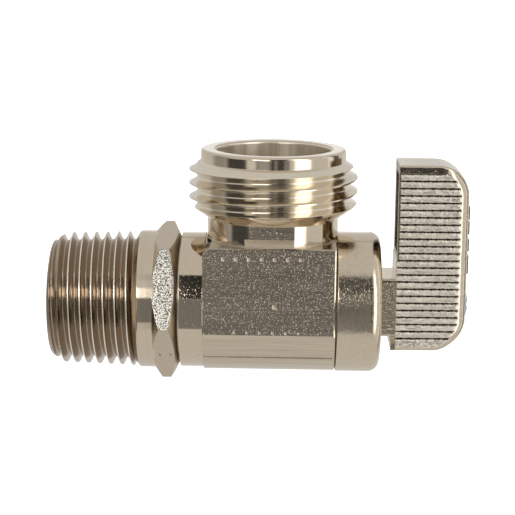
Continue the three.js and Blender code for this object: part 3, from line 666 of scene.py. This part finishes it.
def pipe_thread():
    section = thread_section(PIPE_DEPTH, PIPE_CREST, PIPE_CREST_SHARE)
    turns = math.ceil(COLLAR_X / PIPE_PITCH) + 3
    # The top of the inlet is a quarter turn round the rod from +Y.
    start = PIPE_FIRST_CREST - PIPE_PITCH * 2.75
    ridge = threaded_rod("X", PIPE_PITCH, turns, section, start, TAPER)
    clear = PIPE_CREST + MARGIN
    along, outwards = PIPE_END_BEVEL
    envelope = turned([
        (0, 0), (0, PIPE_END_RADIUS - outwards), (along, PIPE_END_RADIUS),
        (PIPE_CHAMFER_X, clear), (COLLAR_X, clear + TAPER * COLLAR_X), (COLLAR_X, 0),
    ])
    return limit(ridge, envelope)


def hexagon():
    corner = HEX_FLATS / 2 / math.cos(math.pi / 6)
    clear = corner + HEX_CORNER_MARGIN
    angles = [math.radians(180 - HEX_TURN + 30 + 60 * i) for i in range(6)]
    outline = [(corner * math.cos(a), corner * math.sin(a)) for a in angles]
    chamfers = turned([
        (HEX_X, 0), (HEX_X, COLLAR_RADIUS - HEX_NEAR_STEP), (HEX_X + HEX_NEAR_CHAMFER, clear),
        (HEX_END_X - HEX_FAR_CHAMFER, clear), (HEX_END_X - HEX_FACE_EDGE, HEX_FAR_RADIUS),
        (HEX_END_X, HEX_FACE_RADIUS), (HEX_END_X, 0),
    ])
    return limit(prism(outline, HEX_X, HEX_END_X), chamfers)


def lower_flat_normal():
    """The normal of the hexagon's flat below the front one."""
    lean = math.radians(HEX_TURN - 60)
    return Vector((0, -math.cos(lean), math.sin(lean)))


def hexagon_marks():
    """Two small square dents on the flat below the front one."""
    outward = lower_flat_normal()
    up = Vector((0, outward.z, -outward.y))
    middle = outward * (HEX_FLATS / 2)
    foot = middle + up * (HEX_MARKS_Z - middle.z) / up.z
    places = [foot + Vector((x, 0, 0)) for x in HEX_MARKS_X]
    return [pyramid(place, -outward, HEX_MARK_HALF, HEX_MARK_DEPTH) for place in places]


def in_hexagon_mark(centre, normal):
    """Whether a face belongs to a dent and not to the flat round it."""
    reach = HEX_MARK_HALF + 0.1
    beside = min(abs(centre.x - x) for x in HEX_MARKS_X)
    inside = beside < reach and abs(centre.z - HEX_MARKS_Z) < reach and centre.y < 0
    return inside and normal.z > lower_flat_normal().z + 0.1


def make_adapter():
    bevel_x, full_x = COLLAR_BEVEL_ENDS
    collar = turned(filleted([
        (bevel_x, 0, 0), (bevel_x, COLLAR_RADIUS - COLLAR_BEVEL, 0), (full_x, COLLAR_RADIUS, COLLAR_FILLET),
        (HEX_X + OVERLAP, COLLAR_RADIUS, 0), (HEX_X + OVERLAP, 0, 0),
    ]))
    spigot = turned([
        (HEX_END_X - OVERLAP, 0), (HEX_END_X - OVERLAP, SPIGOT_RADIUS), (GLAND_X, SPIGOT_RADIUS),
        (GLAND_X, GLAND_RADIUS), (GLAND_END_X, GLAND_RADIUS), (GLAND_END_X, SPIGOT_RADIUS),
        (SPIGOT_END_X, SPIGOT_RADIUS), (SPIGOT_END_X, 0),
    ])
    bore_end = SPIGOT_END_X - OVERLAP
    bore = turned(filleted([
        (-BEYOND, 0, 0), (-BEYOND, INLET_BORE + INLET_CHAMFER + BEYOND, 0),
        (INLET_CHAMFER, INLET_BORE, INLET_FILLET), (bore_end, INLET_BORE, 0), (bore_end, 0, 0),
    ]))
    pocket = rod("X", VALVE_X - RETAINER_Z, SPIGOT_END_X + BEYOND, SEAT_POCKET_RADIUS)
    whole = cut(join(pipe_thread(), collar, hexagon(), spigot), bore, pocket, *hexagon_marks())

    def choose(centre, normal):
        radius = math.hypot(centre.y, centre.z)
        # Painted shade: the pipe thread's flanks and roots take a darker tint.
        if centre.x < COLLAR_X + NEAR and radius < PIPE_CREST + TAPER * centre.x - CREST_BAND:
            return pipe_flank_shaded
        # Painted highlight: the crests, the chamfer and the spigot take the lightened tint.
        if centre.x < COLLAR_X or radius < SPIGOT_RADIUS + 0.2:
            return thread_nickel
        if centre.x < HEX_X + 0.1:
            return collar_nickel
        if in_hexagon_mark(centre, normal):
            return mark_nickel
        if normal.x > 0.5:
            return hex_edge
        return hex_rough if normal.y < -0.9 else hex_nickel

    materials = [thread_nickel, collar_nickel, hex_nickel, pipe_flank_shaded, hex_edge, hex_rough, mark_nickel]
    return piece(
        whole, "inlet_adapter_finished", "inlet_adapter", "housing", materials, choose
    )


# ---------------- valve body


def block_corner():
    """What is cut off the block's top edge beside the neck."""
    low, high = BLOCK_X - BEYOND, BLOCK_X + BLOCK_CHAMFER + BEYOND
    foot, top = BLOCK_TOP - BLOCK_CHAMFER - BEYOND, BLOCK_TOP + BEYOND
    half = BLOCK_HALF_DEPTH + BEYOND
    return prism([(low, foot), (high, top), (low, top)], -half, half, "XZ")


def block_end_bevel(side):
    """What is cut off an upright edge of the block beside the boss."""
    low, high = BLOCK_END_X - BLOCK_END_BEVEL, BLOCK_END_X + BLOCK_END_BEVEL
    outer = side * BLOCK_HALF_DEPTH
    inner = side * (BLOCK_HALF_DEPTH - (high - low) * BLOCK_END_SLOPE)
    return prism([(low, outer), (high, outer), (high, inner)], -BELLY_RADIUS, BLOCK_TOP + BEYOND, "XY")


def block():
    """The forged block: a flat top and sides over a round belly."""
    side, top, bevel, belly = BLOCK_HALF_DEPTH, BLOCK_TOP, BLOCK_BEVEL, BELLY_RADIUS
    flat_end = -math.sqrt(belly**2 - side**2)
    outline = [(-side, flat_end), (-side, top - bevel), (-side + bevel, top), (side - bevel, top)]
    outline += [(side, top - bevel), (side, flat_end)]
    start = math.atan2(flat_end, side)
    sweep = -math.pi - 2 * start
    for i in range(1, BELLY_STEPS):
        angle = start + sweep * i / BELLY_STEPS
        outline.append((belly * math.cos(angle), belly * math.sin(angle)))
    return cut(prism(outline, BLOCK_X, BLOCK_END_X), block_corner(), block_end_bevel(-1), block_end_bevel(1))


def hose_thread():
    section = thread_section(HOSE_DEPTH, HOSE_CREST, HOSE_CREST_SHARE)
    # The inlet side is half a turn round the rod from +X.
    start = HOSE_CREST_Z - HOSE_PITCH * 4
    clear = HOSE_CREST + MARGIN
    end = LIP_Z + LIP_STEP
    envelope = turned([
        (OUTLET_NECK_TOP, 0), (OUTLET_NECK_TOP, OUTLET_NECK_RADIUS), HOSE_RUNOUT,
        (HOSE_FULL_LOW_Z, clear), (HOSE_FULL_HIGH_Z, clear), (end, LIP_RADIUS), (end, 0),
    ], "Z")
    return limit(threaded_rod("Z", HOSE_PITCH, HOSE_TURNS, section, start), envelope)


def outlet_neck():
    """The neck with its two flats, the ledge under each, and the thin rim at its foot."""
    neck = rod("Z", 0, OUTLET_NECK_TOP + OVERLAP, OUTLET_NECK_RADIUS)
    wide = 2 * OUTLET_NECK_RADIUS
    low, high = BLOCK_TOP - OVERLAP, OUTLET_NECK_TOP + BEYOND
    for side in (-1, 1):
        inner, outer = side * OUTLET_FLAT, side * wide
        flat = [(inner, high), (inner, low), (outer, low), (outer, high)]
        neck = cut(neck, prism(flat, VALVE_X - wide, VALVE_X + wide))
    half, top_half = LEDGE_HALF_DEPTH, OUTLET_FLAT
    ledge = [(-half, 0), (half, 0), (half, LEDGE_SLOPE_Z), (top_half, LEDGE_TOP), (-top_half, LEDGE_TOP)]
    ledge.append((-half, LEDGE_SLOPE_Z))
    left, right = LEDGE_ENDS
    foot = rod("Z", BLOCK_TOP - OVERLAP, OUTLET_FOOT_TOP, OUTLET_FOOT_RADIUS)
    return join(neck, prism(ledge, VALVE_X + left, VALVE_X + right), foot)


def lip():
    return turned(filleted([
        (LIP_Z - OVERLAP, 0, 0), (LIP_Z - OVERLAP, LIP_RADIUS, 0),
        (OUTLET_TOP, LIP_RADIUS, LIP_FILLET), (OUTLET_TOP, 0, 0),
    ]), "Z")


def waterways():
    """The inlet's way, the ball's cavity, the stem's pocket and bore, and the outlet."""
    near, far = VALVE_X - CAVITY_REACH, VALVE_X + CAVITY_REACH
    inlet = rod("X", NECK_X - BEYOND, near, INLET_WAY)
    cavity = rod("X", near - OVERLAP, far, CAVITY_RADIUS)
    pocket = rod("X", far - OVERLAP, POCKET_END_X, POCKET_RADIUS)
    stem = rod("X", POCKET_END_X - OVERLAP, BOSS_END_X + BEYOND, STEM_BORE, FINE_COLUMNS)
    ring_z, ring_radius = RETAINER_Z - RETAINER_SEAT_PLAY, RETAINER_RADIUS + RETAINER_PLAY
    outlet = turned(filleted([
        (0, 0, 0), (0, SEAT_POCKET_RADIUS, 0), (ring_z, SEAT_POCKET_RADIUS, 0), (ring_z, ring_radius, 0),
        (OUTLET_FLOOR, ring_radius, 0), (OUTLET_FLOOR, OUTLET_BORE, 0),
        (OUTLET_TOP - MOUTH_CHAMFER, OUTLET_BORE, MOUTH_FILLET),
        (OUTLET_TOP + BEYOND, OUTLET_BORE + MOUTH_CHAMFER + BEYOND, 0), (OUTLET_TOP + BEYOND, 0, 0),
    ]), "Z")
    return [inlet, cavity, pocket, stem, outlet]


def dimples():
    """Two rows of punch dimples on the block's front, and one larger one."""
    made = []
    for first, z, count, half in DIMPLES:
        for i in range(count):
            place = Vector((VALVE_X + first + DIMPLE_STEP * i, -BLOCK_HALF_DEPTH, z))
            made.append(pyramid(place, Vector((0, 1, 0)), half, DIMPLE_SLOPE * half))
    return made


def creases():
    """Fine lengthwise lines that the forging's tool left low on both sides."""
    made = []
    y, z = CREASE
    for side in (-1, 1):
        centre = Vector((side * y, z))
        outward = centre.normalized()
        across = Vector((-outward.y, outward.x)) * CREASE_HALF_WIDTH
        tip = centre - outward * CREASE_DEPTH
        mouth = centre + outward * CREASE_RISE
        outline = [tuple(tip), tuple(mouth + across), tuple(mouth - across)]
        made.append(prism(outline, CREASE_START_X, CREASE_END_X))
    return made


def neck_and_boss():
    core_end = BLOCK_X + ROOTED
    neck = turned([
        (NECK_X, 0), (NECK_X, NECK_RADIUS), (BLOCK_X + NEAR, NECK_RADIUS),
        (BLOCK_X + NEAR, NECK_CORE_RADIUS), (core_end, NECK_CORE_RADIUS), (core_end, 0),
    ])
    start = BLOCK_END_X - ROOTED
    groove_radius = BOSS_RADIUS - BOSS_GROOVE_DEPTH
    groove_x, full_x = BOSS_GROOVE_ENDS
    boss = turned(filleted([
        (start, 0, 0), (start, groove_radius, 0), (groove_x, groove_radius, 0),
        (full_x, BOSS_RADIUS, BOSS_EDGE), (BOSS_END_X, BOSS_RADIUS, BOSS_FILLET), (BOSS_END_X, 0, 0),
    ], 10))
    return [neck, boss]


def on_ledge(centre, beside):
    """Whether a face belongs to a ledge under a flat, or to the thin rim at the neck's foot."""
    upright = BLOCK_TOP + NEAR < centre.z < LEDGE_TOP + 0.1
    if upright and abs(centre.y) > OUTLET_FLAT - 0.01 and abs(centre.x - VALVE_X) < LEDGE_FINISH_REACH:
        return True
    return BLOCK_TOP < centre.z < OUTLET_FOOT_TOP and beside > OUTLET_FOOT_RADIUS - 0.05


def make_body():
    whole = join(block(), *neck_and_boss(), outlet_neck(), hose_thread(), lip())
    whole = cut(whole, *waterways(), *dimples(), *creases())

    def choose(centre, normal):
        beside = math.hypot(centre.x - VALVE_X, centre.y)
        steep, shallow = DIMPLE_NORMALS
        # Painted light: the bore takes the lightened tint.
        if beside < OUTLET_BORE + 0.2 and centre.z > BORE_FINISH_Z:
            return bore_nickel
        if on_ledge(centre, beside):
            return ledge_nickel
        if BLOCK_TOP < centre.z < OUTLET_NECK_TOP and abs(abs(centre.y) - OUTLET_FLAT) < 0.01:
            return flat_nickel
        # Painted light: the hose thread's flanks and roots take a lighter tint.
        if OUTLET_NECK_TOP + NEAR < centre.z < LIP_Z and beside < HOSE_CREST - CREST_BAND:
            return hose_flank_lightened
        if centre.z > BLOCK_TOP + NEAR:
            return outlet_nickel
        if centre.x < BLOCK_X:
            return neck_nickel
        if centre.x > BLOCK_END_X + NEAR:
            return boss_nickel
        if steep < normal.y < shallow and centre.y < 0.3 - BLOCK_HALF_DEPTH:
            return mark_nickel
        return belly_nickel if centre.z < BELLY_TOP else block_nickel

    materials = [
        block_nickel, neck_nickel, belly_nickel, boss_nickel, outlet_nickel, bore_nickel, hose_flank_lightened,
        ledge_nickel, flat_nickel, mark_nickel,
    ]
    return piece(whole, "valve_body_finished", "valve_body", "housing", materials, choose)


# ---------------- lever


def lever_outline(steps=24):
    """The lever's side outline in X and Z: square at the back and rounded at the front."""
    points = [(LEVER_X, LEVER_TOP), (LEVER_X, LEVER_FOOT)]
    for radius, centre_z, start in (
        (LEVER_CORNER_FOOT, LEVER_FOOT + LEVER_CORNER_FOOT, -90),
        (LEVER_CORNER_TOP, LEVER_TOP - LEVER_CORNER_TOP, 0),
    ):
        centre_x = LEVER_END_X - radius
        for step in range(steps + 1):
            angle = math.radians(start + 90 * step / steps)
            points.append((centre_x + radius * math.cos(angle), centre_z + radius * math.sin(angle)))
    return points


def depth_inside(x, z):
    """How far a point of the lever's side lies inside its top, front and foot, in millimetres."""
    foot_corner = (LEVER_END_X - LEVER_CORNER_FOOT, LEVER_FOOT + LEVER_CORNER_FOOT, LEVER_CORNER_FOOT)
    top_corner = (LEVER_END_X - LEVER_CORNER_TOP, LEVER_TOP - LEVER_CORNER_TOP, LEVER_CORNER_TOP)
    depth = np.minimum(np.minimum(LEVER_TOP - z, z - LEVER_FOOT), LEVER_END_X - x)
    for sign, (cx, cz, radius) in ((-1, foot_corner), (1, top_corner)):
        beyond = (x > cx) & (sign * (z - cz) > 0)
        depth = np.where(beyond, radius - np.hypot(x - cx, z - cz), depth)
    return depth


def ramp(value, low, high):
    """0 below low, 1 above high, and a smooth step between them."""
    t = np.clip((value - low) / (high - low), 0, 1)
    return t * t * (3 - 2 * t)


def fillet_drop(depth, radius):
    """How far a fillet lies under the flat face, at a depth inside the edge."""
    inward = np.clip(radius - depth, 0, radius)
    return radius - np.sqrt(np.maximum(radius**2 - inward**2, 0))


def front_share(x, z):
    """1 along the lever's front and foot, where the edge is a full fillet, and 0 along its top."""
    front_start, front_full = FRONT_BLEND_X
    foot_start, foot_full = FOOT_BLEND_Z
    return np.maximum(ramp(x, front_start, front_full), ramp(-z, -foot_start, -foot_full))


def edge_radius(x):
    """The fillet's radius, growing from the foot to the front."""
    return FOOT_FILLET + (FRONT_FILLET - FOOT_FILLET) * ramp(x, *FILLET_GROWTH_X)


def rib_phase(x, z):
    """0 on a rib's crest and 1 in the middle of a groove, which wavers a little as a cast one does."""
    waver = WAVER * (np.sin(4.3 * x + 9.1 * z) + np.sin(9.7 * x - 5.3 * z))
    return np.abs(((TOP_GROOVE_Z - z + waver) / RIB_PITCH) % 1.0 - 0.5) * 2


def panel(x, z):
    """1 inside the rough panel and 0 on the edges round it."""
    share = front_share(x, z)
    width = TOP_SLOPE_WIDTH + (PANEL_IN_FILLET * edge_radius(x) - TOP_SLOPE_WIDTH) * share
    return ramp(depth_inside(x, z), width - PANEL_BLUR, width + PANEL_BLUR) * (z < PANEL_TOP)


def rib_run(x, z):
    """1 on the part of the panel that has ribs."""
    return panel(x, z) * (z > PANEL_FOOT)


def side_height(x, z):
    """Half the lever's thickness at a point of its side, with its edges and ribs."""
    slope = (LEVER_HALF - LEVER_FRONT_HALF) / (LEVER_END_X - LEVER_X)
    face = LEVER_HALF - slope * (x - LEVER_X)
    depth = depth_inside(x, z)
    share = front_share(x, z)
    top = TOP_SLOPE_DROP * (1 - np.clip(depth / TOP_SLOPE_WIDTH, 0, 1)) + fillet_drop(depth, EDGE_FILLET)
    edge = (1 - share) * top + share * fillet_drop(depth, edge_radius(x))
    # A rib's section is a broad crown that falls steeply into its groove.
    crown = 1 - np.sqrt(np.maximum(1 - (rib_phase(x, z) * CROWN_SHARE) ** 3, 0))
    beside_back = 1 - ramp(x, LEVER_X + STRIP_WIDTH - STRIP_BLUR, LEVER_X + STRIP_WIDTH)
    strip = STRIP_DEPTH * beside_back * (z < PANEL_TOP) * (z > ROOT_TOP)
    return face - edge - np.maximum(GROOVE_DEPTH * crown * rib_run(x, z), strip)


def relief_grid():
    """Where the lever's side is sampled in X and Z: closest at the strip and towards the front."""
    step = LEVER_X + STRIP_WIDTH
    xs = np.concatenate([
        np.linspace(LEVER_X - 0.6, step - 0.13, 5),
        np.linspace(step - 0.1, step + 0.02, 5),
        np.linspace(step + 0.15, LEVER_END_X - 3, 36),
        np.linspace(LEVER_END_X - 2.9, LEVER_END_X + 0.4, 44),
    ])
    zs = np.arange(LEVER_FOOT - 0.4, LEVER_TOP + 0.4, RIB_PITCH / 16)
    return np.meshgrid(xs, zs, indexing="ij")


def side_cutter(side):
    """What lies outside the lever's side, as a closed solid with the relief as its inner face."""
    x, z = relief_grid()
    inner = side_height(np.clip(x, LEVER_X, LEVER_END_X), z)
    outer = np.full_like(inner, LEVER_HALF + 2)
    columns, rows = x.shape
    points = []
    for y in (inner, outer):
        points += list(zip(x.ravel(), (side * y).ravel(), z.ravel()))

    def at(layer, i, j):
        return (layer * columns + i) * rows + j

    faces = []
    for layer in (0, 1):
        for i in range(columns - 1):
            for j in range(rows - 1):
                corners = ((i, j), (i + 1, j), (i + 1, j + 1), (i, j + 1))
                faces.append([at(layer, *corner) for corner in corners])
    for i in range(columns - 1):
        for j in (0, rows - 1):
            faces.append([at(0, i, j), at(0, i + 1, j), at(1, i + 1, j), at(1, i, j)])
    for j in range(rows - 1):
        for i in (0, columns - 1):
            faces.append([at(0, i, j), at(0, i, j + 1), at(1, i, j + 1), at(1, i, j)])
    return solid("relief", points, faces)


def hub():
    half = HUB_FLATS / 2
    corners = [(-half, -half), (half, -half), (half, half), (-half, half)]
    return prism(filleted([(y, z, HUB_FILLET) for y, z in corners]), HUB_X, LEVER_X + OVERLAP)


def lever_back():
    """The raised root round the hub, and the small tab at the lever's foot."""
    front, foot = LEVER_X + OVERLAP, LEVER_FOOT + OVERLAP
    outline = [(ROOT_X, foot), (ROOT_X, ROOT_TOP), (front, ROOT_TOP + ROOT_SLOPE), (front, foot)]
    root = prism(outline, -ROOT_HALF, ROOT_HALF, "XZ")
    tab = box((TAB_X, front), (-ROOT_HALF, ROOT_HALF), (LEVER_FOOT + TAB_LIFT, LEVER_FOOT + TAB_HEIGHT))
    return [root, tab]


def pads():
    """Four plain raised pads on the lever's end face."""
    made = []
    for middle, length in PADS:
        x = (LEVER_END_X - OVERLAP, LEVER_END_X + PAD_HEIGHT)
        y = (-PAD_HALF_WIDTH, PAD_HALF_WIDTH)
        made.append(box(x, y, (middle - length / 2, middle + length / 2)))
    return made


def lever_hollows():
    """The stem's square hole, the screw's hole and recess, and the hollow core behind the grip."""
    square = (-SQUARE_HOLE_HALF, SQUARE_HOLE_HALF)
    square_hole = box((HUB_X - BEYOND, SQUARE_HOLE_END_X), square, square)
    screw_way = rod("X", SQUARE_HOLE_END_X - 0.3, RECESS_X + 0.7, SCREW_HOLE_RADIUS, FINE_COLUMNS)
    recess = rod("X", RECESS_X, LEVER_END_X + BEYOND, RECESS_RADIUS, FINE_COLUMNS)
    core = box((TAB_X - BEYOND, CORE_END_X), (-CORE_HALF, CORE_HALF), CORE_ENDS)
    return [square_hole, screw_way, recess, core]


def make_lever():
    whole = prism(lever_outline(), -LEVER_HALF - 1, LEVER_HALF + 1, "XZ")
    whole = cut(whole, side_cutter(-1), side_cutter(1))
    whole = join(whole, hub(), *lever_back(), *pads())
    whole = cut(whole, *lever_hollows())

    def choose(centre, normal):
        x, z = centre.x, centre.z
        on_side = abs(centre.y) > LEVER_FRONT_HALF - GROOVE_DEPTH - 1 and x > LEVER_X + 0.01
        if abs(abs(centre.y) - HUB_FLATS / 2) < 0.001:
            return hub_nickel
        # Painted shade: the back face above the root and the sunk strip take a dark tint.
        if not on_side:
            return strip_shaded_nickel if abs(x - LEVER_X) < 0.01 and z > ROOT_TOP else edge_nickel
        if x < LEVER_X + STRIP_WIDTH - STRIP_BLUR and ROOT_TOP < z < PANEL_TOP:
            return strip_shaded_nickel
        if panel(np.float64(x), np.float64(z)) < 0.5:
            return edge_nickel
        # Painted shade in the grooves; painted light on the ribs, which take the lightened tint.
        return groove_shaded_nickel if rib_phase(x, z) > 1 - GROOVE_SHARE and z > PANEL_FOOT else rib_nickel

    materials = [rib_nickel, edge_nickel, groove_shaded_nickel, strip_shaded_nickel, hub_nickel]
    return piece(
        whole, "lever_finished", "lever", "stem_and_lever", materials, choose, angle=38
    )


def make_screw():
    """A domed screw with a plain cross recess."""
    rise = SCREW_DOME + SCREW_EDGE
    dome = [(LEVER_END_X + SCREW_DOME - rise * t * t, SCREW_HEAD_RADIUS * t) for t in np.linspace(1, 0, 12)]
    shape = turned([
        (SCREW_TIP_X, 0), (SCREW_TIP_X, SCREW_TIP_RADIUS),
        (SCREW_TIP_X + SCREW_TIP_LENGTH, SCREW_SHANK_RADIUS),
        (SCREW_HEAD_X, SCREW_SHANK_RADIUS), (SCREW_HEAD_X, SCREW_HEAD_RADIUS), *dome,
    ], "X", FINE_COLUMNS)
    depth = (LEVER_END_X - CROSS_DEPTH, LEVER_END_X + BEYOND)
    long, short = (-CROSS_HALF_LENGTH, CROSS_HALF_LENGTH), (-CROSS_HALF_WIDTH, CROSS_HALF_WIDTH)
    shape = cut(shape, box(depth, long, short), box(depth, short, long))
    return piece(shape, "lever_screw_finished", "lever_screw", "stem_and_lever", [steel])


# ---------------- inner pieces


def make_retainer():
    """The outlet seat's screwed ring, with two notches for its key."""
    ring = turned(filleted([
        (RETAINER_Z, RETAINER_BORE, 0), (RETAINER_Z, RETAINER_RADIUS, 0),
        (RETAINER_TOP, RETAINER_RADIUS, RETAINER_FILLET), (RETAINER_TOP, RETAINER_BORE, RETAINER_FILLET),
    ]), "Z")
    x = (VALVE_X - RETAINER_RADIUS - 1, VALVE_X + RETAINER_RADIUS + 1)
    z = (RETAINER_TOP - KEY_NOTCH_DEPTH, RETAINER_TOP + 1)
    ring = cut(ring, box(x, (-KEY_NOTCH_HALF, KEY_NOTCH_HALF), z))
    return piece(
        ring, "outlet_seat_retainer_finished", "outlet_seat_retainer", "housing", [brass]
    )


def dress_cad_nodes():
    """The hidden CAD pieces keep their shape and take a finish."""
    finishes = {
        "ball": chrome, "stem": brass, "lever_lock_washer": steel,
        "inlet_seat": ptfe, "outlet_seat": ptfe, "stem_thrust_washer": ptfe,
        "adapter_o_ring": rubber, "inlet_seat_o_ring": rubber, "outlet_seat_o_ring": rubber,
        "stem_o_ring_inner": rubber, "stem_o_ring_outer": rubber,
    }
    for node, material in finishes.items():
        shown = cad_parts[node]
        shown.data.materials.clear()
        shown.data.materials.append(material)
        shown.data.shade_smooth()
        shown.data.set_sharp_from_angle(angle=math.radians(35))


# ---------------- stage, light and camera


def make_floor():
    mesh = bpy.data.meshes.new("floor")
    low = cad_low.z - FLOOR_GAP
    signs = ((-1, -1), (1, -1), (1, 1), (-1, 1))
    mesh.from_pydata([(a * FLOOR_HALF, b * FLOOR_HALF, low) for a, b in signs], [], [(0, 1, 2, 3)])
    floor = bpy.data.objects.new("floor", mesh)
    bpy.context.scene.collection.objects.link(floor)
    nodes = Nodes("floor_white")
    nodes.shader.inputs["Base Color"].default_value = (0.9, 0.9, 0.9, 1)
    nodes.shader.inputs["Roughness"].default_value = 0.9
    nodes.shader.inputs["Emission Color"].default_value = (1, 1, 1, 1)
    nodes.shader.inputs["Emission Strength"].default_value = 0.9
    mesh.materials.append(nodes.material)
    floor.visible_glossy = False


# Brightness by direction: (from, to, blur) across, (from, to, blur) in elevation, strength; in degrees.
# Across is the angle out of the plane that holds the camera and the outlet for the patches in front,
# and the azimuth for those all round; both are 0 towards the camera and grow to the right. A later
# patch covers an earlier one.
TENT = 0.68
FRONT_PATCHES = [
    ((-30, 26, 3), (-39.5, 12.5, 1.2), 0.23),  # the dim room through the opening
    ((-30, -4.7, 0.4), (-41, -26, 1.5), 0.66),
    ((-30, -4.75, 0.25), (-28, 12, 2), 0.18),  # the collar's dark band, and the thread's
    ((-30, -5.75, 0.2), (-28, 12, 2), 0.42),
    ((-4.7, 1.5, 0.3), (12.5, 53, 1.2), 0.03),  # the camera and what is above it
    ((1.5, 22, 1), (-11, 21, 4), 0.28),
    ((1.5, 22, 1), (22, 53, 2), 0.08),
    ((3.6, 16, 0.4), (14, 52, 2), 0.035),
    ((-2.4, 1.9, 0.3), (-10.2, 12.5, 0.4), 0.06),
    ((6.9, 17, 1.2), (-22, 13, 2), 0.07),
    ((-30, -4.75, 0.25), (14, 42, 3), 0.8),  # the left soft box's edge
    ((-30, -5.75, 0.2), (13, 29, 2), 4.6),
]
ROUND_PATCHES = [
    ((-78, -24, 4), (-39, 13, 4), 0.07),
    ((-42, -26, 3), (-9.9, 12, 0.6), 0.8),
    ((-108, -78, 8), (-35, 30, 8), 0.35),
    ((27, 98, 3), (-36, 60, 5), 0.72),  # right soft box
    ((35, 60, 4), (-34, 54, 5), 2.6),
    ((96, 107, 2), (-36, 40, 6), 1.15),
    ((109, 124, 2), (-38, 30, 6), 0.14),  # dark flag behind it
    ((127, 181, 3), (-25, 8, 3), 0.78),
    ((-182, -172, 1), (3, 14, 2), 1.0),
    ((176.5, 182, 1), (3, 14, 2), 1.0),
]


class Sky(Tree):
    """The world's nodes, which give a brightness for each direction."""

    def __init__(self, name):
        world = bpy.data.worlds.new(name)
        bpy.context.scene.world = world
        world.use_nodes = True
        self.tree = world.node_tree
        self.tree.nodes.clear()

    def math(self, operation, first, second=None):
        node = self.add("ShaderNodeMath", operation=operation)
        for i, value in enumerate((first, second)):
            if isinstance(value, (int, float)):
                node.inputs[i].default_value = value
            elif value is not None:
                self.link(value, node.inputs[i])
        return node.outputs[0]

    def degrees(self, operation, *values):
        return self.math("MULTIPLY", self.math(operation, *values), 180 / math.pi)

    def soft_step(self, value, edge, blur):
        node = self.add("ShaderNodeMapRange", interpolation_type="SMOOTHSTEP")
        node.inputs["From Min"].default_value = edge - blur
        node.inputs["From Max"].default_value = edge + blur
        self.link(value, node.inputs["Value"])
        return node.outputs["Result"]

    def window(self, value, low, high, blur):
        """1 between low and high, and 0 outside them."""
        inside = self.soft_step(value, low, blur)
        outside = self.soft_step(value, high, blur)
        return self.math("SUBTRACT", inside, outside)

    def mixed(self, share, first, second):
        """Goes from the first brightness, a number or another mix, to the second by a share."""
        mix = self.add("ShaderNodeMix")
        self.link(share, mix.inputs["Factor"])
        if isinstance(first, float):
            mix.inputs["A"].default_value = first
        else:
            self.link(first, mix.inputs["A"])
        mix.inputs["B"].default_value = second
        return mix.outputs["Result"]


def tent_brightness(sky):
    """The tent's brightness with every patch laid over it."""
    direction = sky.add("ShaderNodeSeparateXYZ")
    sky.link(sky.add("ShaderNodeTexCoord").outputs["Generated"], direction.inputs[0])
    x, y, z = direction.outputs
    forward = sky.math("MULTIPLY", y, -1.0)
    in_front = sky.math("GREATER_THAN", forward, 0.0)
    side = sky.degrees("ARCSINE", x)
    azimuth = sky.degrees("ARCTAN2", x, forward)
    elevation = sky.degrees("ARCSINE", z)
    patches = [(side, in_front, patch) for patch in FRONT_PATCHES]
    patches += [(azimuth, 1.0, patch) for patch in ROUND_PATCHES]
    level = TENT
    for across, where, ((left, right, side_blur), (low, high, end_blur), strength) in patches:
        columns = sky.window(across, left, right, side_blur)
        rows = sky.window(elevation, low, high, end_blur)
        share = sky.math("MULTIPLY", sky.math("MULTIPLY", columns, rows), where)
        level = sky.mixed(share, level, strength)
    return level


def make_world():
    """A light tent: bright all round, dark towards the camera's opening, with two soft boxes beside it."""
    sky = Sky("studio")
    seen = sky.add("ShaderNodeLightPath").outputs["Is Camera Ray"]
    background = sky.add("ShaderNodeBackground")
    background.inputs["Color"].default_value = (1, 1, 1, 1)
    sky.link(sky.mixed(seen, tent_brightness(sky), 1.0), background.inputs["Strength"])
    output = sky.add("ShaderNodeOutputWorld")
    sky.link(background.outputs[0], output.inputs["Surface"])


def make_camera():
    data = bpy.data.cameras.new("camera")
    data.sensor_width = SENSOR_WIDTH
    data.lens = CAMERA_LENS
    camera = bpy.data.objects.new("camera", data)
    bpy.context.scene.collection.objects.link(camera)
    yaw, pitch, roll = CAMERA_YAW, CAMERA_PITCH, CAMERA_ROLL
    ahead = Vector((math.sin(yaw) * math.cos(pitch), math.cos(yaw) * math.cos(pitch), -math.sin(pitch)))
    right = Vector((math.cos(yaw), -math.sin(yaw), 0))
    up = right.cross(ahead)
    rolled_right = math.cos(roll) * right + math.sin(roll) * up
    rolled_up = -math.sin(roll) * right + math.cos(roll) * up
    rows = Matrix((rolled_right, rolled_up, -ahead)).transposed().to_4x4()
    camera.matrix_world = Matrix.Translation(Vector(CAMERA_PLACE) * METRES) @ rows
    bpy.context.scene.camera = camera


make_camera()
make_world()
make_floor()
make_adapter()
make_body()
make_lever()
make_screw()
make_retainer()
dress_cad_nodes()
bpy.context.scene.view_settings.view_transform = "Standard"
